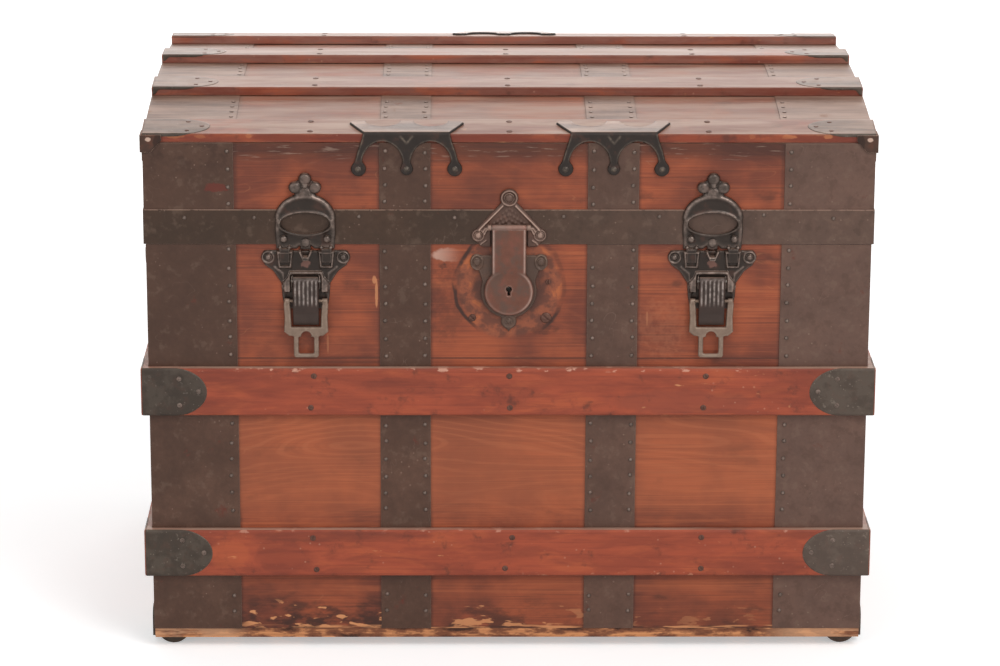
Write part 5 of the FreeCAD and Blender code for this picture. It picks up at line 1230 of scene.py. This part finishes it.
class Latches(bpy.types.Operator):
    """Cast draw latches: bases, levers, bails and keepers"""
    bl_idname = "trunk.latches"
    bl_label = "Draw latches"

    def execute(self, context):
        for side, centre in (("left", -228.0), ("right", 228.0)):
            for name, body, finish_name, maker in (
                    ("latch_keeper_", "lid", "iron", self.keeper),
                    ("latch_base_", "trunk", "iron", self.base),
                    ("latch_lever_", "latch_lever_" + side, "lever_metal", self.lever),
                    ("latch_bail_", "latch_bail_" + side, "bail_metal", self.bail)):
                piece(name + "casting_" + side, maker(centre), body, finish_name,
                      (name + side,))
        return {"FINISHED"}

    def keeper(self, centre):
        """An arched plate: ridges follow its outline and a raised rim its oval window."""
        face, lobe_x, lobe_z = 271.0, 11.5, 548.0

        def window(u, v):
            return oval(u, v, 0, 506.5, 27.0, 12.2)

        def outer(u, v):
            arch = np.where(v > 512, oval(u, v, 0, 512, 34, 29),
                            np.abs(u) - 34 + 0.06 * np.abs(v - 500))
            arch = np.maximum(arch, 477.2 - v)
            arch = np.maximum(arch, -disc(u, v, 0, 470, 12))
            lobes = disc(u, v, 0, 557.5, 7.4)
            for hand in HANDS:
                lobes = blend(lobes, disc(u, v, hand * lobe_x, lobe_z, 6.8), 4.0)
            lobes = blend(lobes, block(u, v, -9, 9, 536, 554), 4.0)
            return blend(arch, lobes, 3.0)

        def edge(u, v):
            return np.maximum(outer(u, v), -window(u, v))

        def form(u, v, depth):
            inward = np.maximum(-outer(u, v), 0)
            hole = np.maximum(window(u, v), 0)
            upper = ramp(v, 492, 504) * (1 - ramp(v, 539, 543))
            ridges = bead(inward - 3.4, 5.6) * 2.8 * (0.35 + 0.65 * upper)
            rim = bead(hole - 1.8, 3.2) * 2.3 * ramp(v, 491, 499)
            crown = 1.2 * ramp(inward, 1, 9) * ramp(hole, 0, 8) * upper
            finial = 0 * u
            for x, z in ((0, 558.0), (-11.8, lobe_z), (11.8, lobe_z), (0, 541.0)):
                finial = np.maximum(finial, np.sqrt(np.clip(
                    1 - ((u - x) ** 2 + (v - z) ** 2) / 48.0, 0, 1)))
            top = ramp(v, 538, 543)
            lower = (1 - ramp(v, 488, 494)) * -0.6
            # Bare metal on the ridges; the wear rises towards the top of the arch, the window's
            # upper rim and the finial as a painted highlight.
            wear = (bead(inward - 2.6, 3.6) * 0.7 * (0.5 + 0.5 * upper) * (1 - top)
                    + bead(hole - 1.6, 1.8) * (0.3 + 0.6 * ramp(v, 506, 516))
                    + finial * top * 0.45)
            finial = finial * top * 2.6
            return rounded(depth, 1.5) * 1.3 + ridges + rim + crown + finial + lower, wear

        def hook(u, v):
            return shape(u, v, mirrored((2.4, 470.2), (5.0, 476.6), (8.3, 476), (3.4, 464.6)))

        def hook_form(u, v, depth):
            return 5.6 * ramp(depth, 0, 0.9) + rounded(depth, 1.8) * 0.9, bead(depth - 1.2, 1.6)

        shells = [
            relief((-36, 36, 476, 567), edge, form, on_front(RIM, centre)),
            heads([(-24.2, 489.0), (24.2, 489.0)], 271.2, 4.3, 3.0, 5, 20, centre=centre),
            heads([(0, 550.5)], face, 3.6, 2.4, centre=centre),
            # The four studs are painted nearly bare, which also paints their highlights.
            heads([(x, 479.6) for x in (-28.4, -18.0, 18.0, 28.4)], face, 2.4, 3.4, 4, 14, 0.95,
                  centre),
            heads([(0, 484.4)], 271.2, 5.2, 1.3, 5, 20, 0.8, centre),
            relief((-12, 12, 463, 478), hook, hook_form, on_front(face, centre), 0.5, 3.0),
            relief((-7, 7, 475, 489), lambda u, v: block(u, v, -6, 6, 476, 488, 2),
                   lambda u, v, d: (2.0 * ramp(d, 0, 1.2), 0.2 + 0 * u),
                   on_front(268.4, centre), 0.8, 0.0)]
        dowel_width = 12.6
        for left in (-29.8, 17.2):
            right = left + dowel_width
            shells.append(relief(
                (left, right, 461, 478),
                lambda u, v, left=left, right=right: block(u, v, left, right, 461.4, 478.0, 1.0),
                lambda u, v, d: (rounded(d, 1.2) * 2.6, bead(d - 1, 1.2) * 0.3),
                on_front(269.6, centre), 0.7, 0.0))
        return shells

    def base(self, centre):
        """An eared plate with two flared sockets, a scalloped waist and arched shoulders over
        the lever's head. Two rounded upright cheeks hold the lever's pin."""
        ear_x, ear_z = 42.0, 467.2
        socket_x, socket_z = 23.2, 465.0
        pin_z = 439

        def edge(u, v):
            plate = shape(u, v, mirrored(
                (24.0, 407), (26.5, 421), (27.6, 437), (31.4, 443), (36.4, 450.8), (46, 458),
                (46, 474), (33, 475.6), (14.6, 475.6), (13.4, 475)))
            plate = np.maximum(plate, -disc(u, v, 0, 402.0, 12))
            for hand in HANDS:
                plate = blend(plate, disc(u, v, hand * ear_x, ear_z, 7.9), 3.0)
            return plate

        def form(u, v, depth):
            across = np.abs(u)
            spread = 8.9 - (473.0 - v) * 0.10
            frame_out = np.maximum(np.abs(across - socket_x) - spread, np.abs(v - socket_z) - 9.6)
            walls = bead(frame_out + 1.0, 2.0)
            pocket = ramp(-frame_out, 2.0, 3.0)
            ear = np.hypot(across - ear_x, v - ear_z)
            ears = bead(ear - 6.4, 1.6) * 1.6 + bead(ear, 3.2) * 0.4
            waist = bead(line(across, v, (27.0, 432), (24.6, 441), (25.6, 448), (35, 456)), 2.0)
            foot = bead(np.abs(across - 23.5), 2.2) * (1 - ramp(v, 424, 430))
            rim = bead(depth - 1.2, 1.5)
            raised = np.maximum(walls, ramp(-frame_out, 0.2, 1.2)) * (1 - pocket * 0.85)
            height = (rounded(depth, 1.4) * 1.45 + 4.2 * raised + ears + waist * 1.2
                      + foot * 0.8)
            wear = walls * 0.8 + rim * 0.25 + bead(ear - 6.4, 1.6) * 0.7 + waist * 0.5
            return height, wear

        def shoulders(u, v):
            across = np.abs(u)
            outer = shape(across, v, [(-1, 427), (24.4, 427), (25.0, 433), (24.2, 440.5),
                                      (20.6, 444.6), (18.2, 451.4), (-1, 451.9)])
            return np.maximum(outer, -block(u, v, -16.8, 16.8, 420, 447.9, 1.6))

        def shoulder_form(u, v, depth):
            return (3.7 * ramp(depth, 0, 0.5) * 0.6 + rounded(depth, 1.7) * 1.4,
                    0.5 + bead(depth - 1.5, 1.9) * 0.5)

        def cheek_form(u, v, depth):
            dome = np.sqrt(np.clip(1 - ((v - pin_z) / 9.6) ** 2, 0, 1))
            return 10.4 * ramp(depth, 0, 0.6) * (0.55 + 0.45 * dome), ramp(depth, 0.1, 0.6)

        shells = [relief((-51, 51, 404, 477), edge, form, on_front(BOARDS, centre)),
                  heads([(-ear_x, ear_z), (ear_x, ear_z)], 268.6, 3.7, 2.6, 5, 18, 0.6, centre),
                  relief((-26, 26, 425, 454), shoulders, shoulder_form,
                         on_front(268.0, centre), 0.6, 0.0)]
        for hand in HANDS:
            left, right = sorted((hand * 14.7, hand * 16.2))

            def cheek(u, v, left=left, right=right):
                return block(u, v, left, right, 430.5, 447.5, 1.1)

            shells += [relief((left, right, 430, 448), cheek, cheek_form,
                              on_front(266.8, centre), 0.5, 0.0),
                       heads([(hand * 22.0, 436.6)], 269.4, 4.6, 3.2, 5, 18, 1.0, centre),
                       heads([(hand * 22.6, 428.4)], 269.0, 3.2, 2.0, 4, 14, 0.2, centre)]
        return shells

    def lever(self, centre):
        """A tongue carried across its width, its front bulging over six round ribs that fade
        out halfway down."""
        front = [(-274.1, 389.6), (-274.9, 396), (-275.2, 402)]
        arc = np.linspace(0, 1, 26)
        y = -275.1 - 3.0 * arc - 3.4 * np.sin(arc * math.pi)
        z = 402.0 + 41.3 * arc
        knuckle = np.radians(np.linspace(150, -20, 12))
        top = np.stack([-274.1 + 4.5 * np.cos(knuckle), 441 + 4.5 * np.sin(knuckle)], axis=1)
        back = [(-270.9, 436.0), (-270.9, 424), (-270.9, 410), (-270.9, 398), (-271.2, 390.2),
                (-272.6, 389.3)]
        outline = np.concatenate([front, np.stack([y, z], axis=1)[1:], top, back])
        counts = len(outline)
        height = outline[:, 1]
        forward = (outline[:, 0] < -273.8) & (height < 443.6)

        rib_pitch, half_width = 4.7, 14.4

        def ribs(x):
            return np.cos(x * (2 * math.pi / rib_pitch) + math.pi)

        def bulge(x, s):
            row = np.round(s * counts).astype(int)
            rib = 0.5 + 0.5 * ribs(x)
            rib = np.where(np.abs(x) < 13.8, rib ** 0.6, 0)
            fade = ramp(height[row], 411, 417) * (1 - ramp(height[row], 440.5, 443.5))
            brow = bead(height[row] - 443.4, 4.4) * 0.6
            edge = -0.8 * ramp(np.abs(x), 13.3, half_width) ** 2
            taper = -0.25 * ramp(411 - height[row], 0, 10)
            return np.where(forward[row], rib * fade * 1.5 + taper, 0) + brow + edge

        across = np.linspace(-half_width, half_width, 97)
        points, faces, _ = sweep(outline, across, bulge)
        row = np.tile(np.arange(counts), len(across))
        rib = np.clip(0.3 + ribs(np.repeat(across, counts)), 0, 1)
        wear = np.where(forward[row], rib * ramp(height[row], 411, 418)
                        * (1 - ramp(height[row], 440, 443.4)), 0)
        wear = np.maximum(wear, bead(height[row] - 444.4, 2.6) * 0.4)
        return [(points + (centre, 0, 0), faces, wear)]

    def bail(self, centre):
        """Two arms, a bar and a square ring cut from one plate, rounded on its edges."""
        def edge(u, v):
            across = np.abs(u)
            outer = shape(across, v, [(-1, 376.4), (15.0, 376.4), (19.4, 376.9), (25, 381.6),
                                      (24.2, 398), (25.2, 414), (24.0, 420.6), (18.2, 420.6),
                                      (17.4, 410), (16.4, 387.4), (-1, 387.4)])
            ring = np.maximum(block(u, v, -14.2, 14.2, 351.4, 380, 3.0),
                              -block(u, v, -8.6, 8.6, 356.2, 376.0, 2.0))
            whole = blend(outer, ring, 2.0)
            notch = disc(u, v, 0, 376.4, 5.6)
            return np.maximum(whole, -notch)

        def form(u, v, depth):
            boss = bead(np.hypot(np.abs(u) - 22.0, v - 417.0), 5.0)
            return rounded(depth, 1.6) * 1.6 + boss, 0.35 + bead(depth - 1.4, 1.6) * 0.6

        shells = [relief((-26, 26, 350, 422), edge, form, on_front(272.9, centre), 0.6, 0.0)]
        for hand in HANDS:
            points, faces, wear = bar(-274.5, 418, 1.6, *sorted((hand * 12.0, hand * 19.0)), 16)
            shells.append((points + (centre, 0, 0), faces, wear))
        return shells


class Lock(bpy.types.Operator):
    """The hasp with its plate, and the lock plate behind it"""
    bl_idname = "trunk.lock"
    bl_label = "Lock and hasp"

    def execute(self, context):
        piece("hasp_plate_casting", self.hasp_plate(), "lid", "plate_metal", ("hasp_plate",))
        piece("hasp_casting", self.hasp(), "hasp", "lock_metal", ("hasp",))
        piece("lock_plate_casting", self.lock_plate(), "trunk", "lock_plate_metal",
              ("lock_plate",))
        rng = np.random.default_rng(5)
        shells = [slotted((x, -266.4, z), (0, -1, 0), radius, 1.4, rng.uniform(0, 3))
                  for x, z, radius in ((-41.0, 396.0, 4.6), (42.0, 396.0, 6.6),
                                       (44.0, 438.0, 3.2))]
        piece("old_lock_screws", shells, "trunk", "dark_screws")
        return {"FINISHED"}

    def hasp_plate(self):
        """A triangle with raised sides, three bossed corners and a wavy field."""
        top_z, corner_x, corner_z = 536, 34.6, 493

        def edge(u, v):
            field = shape(u, v, mirrored((5.5, 534), (40.0, 497), (38, 487), (31, 479.6)))
            plate = blend(field, disc(u, v, 0, top_z, 10.3), 1.2)
            plate = blend(plate, disc(np.abs(u), v, corner_x, corner_z, 7.6), 1.5)
            return np.maximum(plate, -block(u, v, -20.2, 20.2, 470, 499.0, 0.5))

        def form(u, v, depth):
            across = np.abs(u)
            side = line(across, v, (7.4, 527.0), (33.6, 499.5))
            shelf = line(across, v, (0, 501.0), (22.5, 501.0), (25.5, 499.0), (27.5, 494.5))
            curl = line(across, v, (26.0, 487.0), (30.5, 484.0), (34.2, 479.8))
            curl_two = line(across, v, (23.0, 501.4), (27.0, 500.8), (29.2, 497.2))
            boss = np.hypot(u, v - top_z)
            lobe = np.hypot(across - corner_x, v - corner_z)
            rings = bead(boss - 8.4, 2.2) * 1.7 + bead(lobe - 6.2, 1.6) * 1.2
            field = np.maximum(0, 1 - np.maximum(0, shape(across, v, [(-1, 503), (22, 503),
                                                                      (-1, 527)])))
            waves = (np.sin(across * 0.95 + v * 0.25) * np.sin(v * 0.8 - across * 0.3)) * 0.45
            ridges = bead(side, 2.4) * 1.9 + bead(shelf, 1.9) * 1.5 + bead(curl, 1.8) * 1.3
            ridges = np.maximum(ridges, bead(curl_two, 1.8) * 1.4)
            height = rounded(depth, 1.2) * 1.4 + ridges + rings + waves * field
            wear = (bead(side, 1.5) + bead(shelf, 1.2) * 0.95 + bead(curl, 1.1) * 0.6
                    + bead(curl_two, 1.1) * 0.8 + bead(boss - 8.4, 1.3) * 0.6
                    + bead(lobe - 6.2, 1.1) * 0.4 + np.clip(waves, 0, 1) * field * 0.3)
            return height, wear

        shells = [relief((-43, 43, 478, 548), edge, form, on_front(RIM), 0.6),
                  heads([(0, top_z)], 270.0, 5.2, 3.4, 6, 24, 0.1),
                  heads([(-corner_x, corner_z), (corner_x, corner_z)], 269.9, 4.0, 2.4)]
        for hand in HANDS:
            points, faces, wear = bar(-273.7, 503, 3.1, *sorted((hand * 20.0, hand * 24.0)), 24)
            shells.append((points, faces, wear + 0.5))
        return shells

    def hasp(self):
        """A tongue with raised edges that runs into a dished disc with a keyhole."""
        def keyhole(u, v):
            return np.minimum(disc(u, v, 0, 430.6, 2.9), block(u, v, -1.2, 1.2, 423.4, 430))

        def edge(u, v):
            tongue = block(u, v, -19.3, 19.3, 430, 503.5, 1.0)
            both = np.minimum(tongue, disc(u, v, 0, LOCK_Z, 27.8))
            return np.maximum(both, -keyhole(u, v))

        def form(u, v, depth):
            away = np.hypot(u, v - LOCK_Z)
            tongue_side = bead(np.abs(u) - 17.4, 2.0) * ramp(v, 447, 452)
            rise = 1 - ramp(v, 440, 456)
            rim = bead(away - 25.6, 2.2) * (1 - ramp(v, 446, 452))
            eye = bead(keyhole(u, v) - 1.0, 1.3)
            height = (rounded(depth, 1.6) * 1.5 + rise * 0.6 + tongue_side * 0.9 + rim * 0.5
                      + eye * 0.4)
            # The tongue's raised sides are bare metal and partly a painted highlight; the disc's
            # rim is painted brighter to the right as a painted highlight.
            wear = tongue_side * 0.85 + rim * (0.15 + 0.5 * ramp(u, 5, 22)) + eye * 0.3
            return height, wear

        def place(u, v, height):
            back = 272.6 - 3.4 * (1 - ramp(v, 440, 458))
            return u, -(back + height), v + 0 * u

        pin_y, pin_z = -273.7, 503
        points, faces, wear = bar(pin_y, pin_z, 3.2, -19.4, 19.4, 28, 9)
        shells = [relief((-29, 29, 398, 505), edge, form, place, 0.6, 0.0),
                  (points, faces, wear + 0.35)]
        staple = ((-271.8, -265.3, 434.0, 447.0), (-265.4, -258.1, 444.6, 447.0),
                  (-265.4, -258.1, 434.0, 436.4), (-260.5, -258.1, 436.3, 444.7))
        for near, far, low, high in staple:
            shells.append(sweep([(near, low), (far, low), (far, high), (near, high)],
                                np.linspace(-2, 2, 3)))
        return shells

    def lock_plate(self):
        """A round plate with two ears, a lobe and a small tip below."""
        ear_x, ear_z, lobe_z = 36.0, 461.4, 392.0
        ear_half = 7.6, 9.4

        def edge(u, v):
            plate = disc(u, v, 0, LOCK_Z, 31.5)
            ears = mirrored((27, 430), (34, 452), (40.5, 458), (40.5, 468), (26, 469.5))
            plate = blend(plate, shape(u, v, ears), 2.0)
            plate = blend(plate, oval(np.abs(u), v, ear_x, ear_z, *ear_half), 3.0)
            plate = blend(plate, disc(u, v, 0, lobe_z, 8.8), 4.0)
            plate = blend(plate, shape(u, v, [(-6, 388), (6, 388), (0, 379.9)]), 1.5)
            return np.maximum(plate, -block(u, v, -3.6, 3.6, 421, 482))

        def form(u, v, depth):
            ear = oval(np.abs(u), v, ear_x, ear_z, *ear_half)
            ring = bead(ear + 1.2, 1.7)
            rim = bead(depth - 1.2, 1.6)
            lobe = bead(np.hypot(u, v - lobe_z) - 6.4, 1.6)
            height = rounded(depth, 1.3) * 1.4 + ring * 1.4 + lobe * 0.6 + rim * 0.4
            # Painted highlight: the ear rings and the rim are painted brighter towards the top.
            upper = 0.2 + 0.8 * ramp(v, 460, 467)
            return height, ring * 0.9 * upper + lobe * 0.2 + rim * 0.2 * ramp(v, 440, 455)

        return [relief((-45, 45, 378, 472), edge, form, on_front(BOARDS), 0.65),
                heads([(-ear_x, ear_z), (ear_x, ear_z), (0, 392.4)], 268.2, (4.4, 4.4, 3.0),
                      (2.4, 2.4, 1.8), wear=0.15)]


class Handles(bpy.types.Operator):
    """Leather end handles, with stitches along both edges"""
    bl_idname = "trunk.handles"
    bl_label = "Leather handles"

    def execute(self, context):
        low, lift, middle_z, stitch_row = 408.8, 14.0, 411.0, 9.6

        def raised(along):
            """1 on the grip, 0 at both ends and a bend between."""
            return 1 - ramp(np.abs(along), 50, 76)

        s, turn = np.meshgrid(np.linspace(-118, 118, 161),
                              np.linspace(0, 2 * math.pi, 40, endpoint=False), indexing="ij")
        middle = low + lift * raised(s)
        half = 13.0 - 1.4 * raised(s)
        up = np.sign(np.sin(turn)) * np.abs(np.sin(turn)) ** 0.45 * half
        out = np.sign(np.cos(turn)) * np.abs(np.cos(turn)) ** 0.6 * 2.5
        dip = 0.5 * bead(np.abs(up) - stitch_row, 1.4) * (np.cos(turn) > 0)
        end = np.sqrt(np.clip(1 - (np.maximum(np.abs(s) - 112, 0) / 6.2) ** 2, 0.05, 1))
        wear = (bead(np.abs(up) - 12.0, 2.0) * 0.8 + bead(s, 60.0) * 0.3).ravel()
        index, quads = tube(s)
        ends = np.stack([index[0], index[-1][::-1]])
        seam = np.arange(-74.0, 74.1, 4.2)
        shells, stitches, rivets = [], [], []
        for hand in HANDS:
            points = stacked(hand * (middle + out - dip), s, middle_z + up * end)
            shells.append((points.reshape(-1, 3), [quads, ends], wear))
            for row in (-stitch_row, stitch_row):
                stitches.append(stacked(hand * (low + lift * raised(seam) + 1.75), seam,
                                        middle_z + row))
            rivets += [(hand * 413.1, side * y, z) for side in HANDS
                       for y, z in ((88.0, 401.0), (88.0, 421.0), (110.0, middle_z))]
        piece("handle_straps_leather", shells, "trunk", "leather", ("handle_straps",))
        spots = np.concatenate(stitches)
        piece("handle_stitches", [domes(spots, np.sign(spots) * (1, 0, 0), 1.3, 0.55, 2, 8)],
              "trunk", "webbing")
        piece("handle_rivets", [domes(rivets, np.sign(rivets) * (1, 0, 0), 3.4, 2.0, 5, 18)],
              "trunk", "nail_metal")
        return {"FINISHED"}


class TrayTabs(bpy.types.Operator):
    """Webbing tabs that lift the tray"""
    bl_idname = "trunk.tray_tabs"
    bl_label = "Tray tabs"

    def execute(self, context):
        turn = np.linspace(0, 2 * math.pi, 48, endpoint=False)
        z = 454.0 + 22.6 * np.sign(np.sin(turn)) * np.abs(np.sin(turn)) ** 0.5
        shells = []
        for hand in HANDS:
            x = hand * 381.6 + 1.15 * np.cos(turn)
            outline = np.stack([x - hand * 0.6 * bead(z - 436, 8.0), z], axis=1)
            points, faces, wear = sweep(outline, np.linspace(-13, 13, 27))
            shells.append((points[:, [1, 0, 2]], faces, wear))
        piece("tray_tabs_webbing", shells, "tray", "webbing", ("tray_lift_tabs",))
        return {"FINISHED"}


# Name, place, width and power of each lamp; metres and watts.
LAMPS = (("key_lamp", (2.1, -3.2, 3.6), 2.2, 86.0), ("fill_lamp", (-2.6, -3.2, 2.4), 2.2, 20.0),
         ("back_lamp", (0.0, 3.6, 1.75), 3.2, 66.0))
LAMP_AIM = (0, 0, 0.3)


class Stage(bpy.types.Operator):
    """Pale floor, soft light and the camera"""
    bl_idname = "trunk.stage"
    bl_label = "Stage"

    def execute(self, context):
        scene = context.scene
        self.floor(scene)
        self.world(scene)
        for name, place, size, power in LAMPS:
            lamp = bpy.data.lights.new(name, "AREA")
            lamp.size = size
            lamp.energy = power
            from_z = np.array(place) - np.array(LAMP_AIM)
            from_z /= np.linalg.norm(from_z)
            side = np.cross([0, 1, 0.0], from_z)
            side /= np.linalg.norm(side)
            self.stand(name, lamp, place, side, np.cross(from_z, side), from_z)
        self.camera(scene)
        scene.view_settings.view_transform = "Standard"
        return {"FINISHED"}

    def stand(self, name, data, place, right, up, back):
        """A lamp or a camera with its own x, y and z along right, up and back."""
        made = bpy.data.objects.new(name, data)
        made.location = place
        made.rotation_mode = "QUATERNION"
        made.rotation_quaternion = Matrix(np.stack([right, up, back], axis=1).tolist()
                                          ).to_quaternion()
        made.visible_camera = data.id_type != "LIGHT"
        bpy.context.scene.collection.objects.link(made)
        return made

    def floor(self, scene):
        reach, drop = 30.0, -0.0004
        mesh = bpy.data.meshes.new("floor")
        mesh.from_pydata([(-reach, -reach, drop), (reach, -reach, drop), (reach, reach, drop),
                          (-reach, reach, drop)], [], [(0, 1, 2, 3)])
        floor = bpy.data.objects.new("floor", mesh)
        scene.collection.objects.link(floor)
        paint = Recipe("white_floor")
        plain = paint.node("BsdfDiffuse", inputs={"Color": (0.93, 0.93, 0.93)})
        far = paint.fade(paint.reach(paint.where), 4500.0, 12000.0)
        glow = paint.tone(far, (0.42, 0.42, 0.42), (1.0, 1.0, 1.0))
        lit = paint.node("Emission", inputs={"Color": glow, "Strength": 1.0})
        both = paint.node("AddShader", inputs={0: plain, 1: lit})
        path = paint.node("LightPath", output="Is Camera Ray")
        shown = paint.node("MixShader", inputs={0: path, 1: plain, 2: both})
        paint.node("OutputMaterial", inputs={"Surface": shown})
        mesh.materials.append(paint.owner)

    def world(self, scene):
        """White where it is seen, mirrored or looked through, and dimmer as a light."""
        paint = Recipe("studio", "worlds")
        camera, glass, mirror = (paint.node("LightPath", output="Is " + ray + " Ray")
                                 for ray in ("Camera", "Transmission", "Glossy"))
        level = paint.node("MapRange", inputs={"Value": camera.most(glass).most(mirror),
                                               "To Min": 0.6, "To Max": 1.0})
        light = paint.node("Background", inputs={"Strength": level})
        paint.node("OutputWorld", inputs={"Surface": light})
        scene.world = paint.owner

    def camera(self, scene):
        turn, tilt, roll = (math.radians(a) for a in (0.692, 16.504, 0.214))
        forward = np.array([math.sin(turn) * math.cos(tilt), math.cos(turn) * math.cos(tilt),
                            -math.sin(tilt)])
        level = np.array([math.cos(turn), -math.sin(turn), 0.0])
        upright = np.cross(level, forward)
        right = math.cos(roll) * level + math.sin(roll) * upright
        up = math.cos(roll) * upright - math.sin(roll) * level
        data = bpy.data.cameras.new("camera")
        data.sensor_width = 36.0
        data.lens = 139.84
        data.clip_start, data.clip_end = 0.1, 100.0
        place = np.array([-60.5, -4469.2, 1623.4]) * MM
        scene.camera = self.stand("camera", data, place, right, up, -forward)


class TrunkPanel(bpy.types.Panel):
    """Sizes, colours and pieces of the trunk"""
    bl_idname = "VIEW3D_PT_trunk"
    bl_label = "Travel trunk"
    bl_space_type = "VIEW_3D"
    bl_region_type = "UI"
    bl_category = "Trunk"

    def draw(self, context):
        for group in (context.scene.trunk_sizes, context.scene.trunk_colours):
            for key in group.bl_rna.properties.keys():
                if key not in ("rna_type", "name"):
                    self.layout.prop(group, key)
        for maker in PIECES:
            self.layout.operator(maker.bl_idname)


PIECES = (Stage, PaintFrame, BandNails, SlatScrews, SlatClamps, Brackets, Latches, Lock, Handles,
          TrayTabs)


def register():
    for kind in (TrunkColours, TrunkSizes, *PIECES, TrunkPanel):
        bpy.utils.register_class(kind)
    bpy.types.Scene.trunk_colours = bpy.props.PointerProperty(type=TrunkColours)
    bpy.types.Scene.trunk_sizes = bpy.props.PointerProperty(type=TrunkSizes)


def unregister():
    del bpy.types.Scene.trunk_sizes
    del bpy.types.Scene.trunk_colours
    for kind in reversed((TrunkColours, TrunkSizes, *PIECES, TrunkPanel)):
        bpy.utils.unregister_class(kind)


def main():
    register()
    for maker in PIECES:
        group, call = maker.bl_idname.split(".")
        getattr(getattr(bpy.ops, group), call)()


if __name__ == "__main__":
    main()
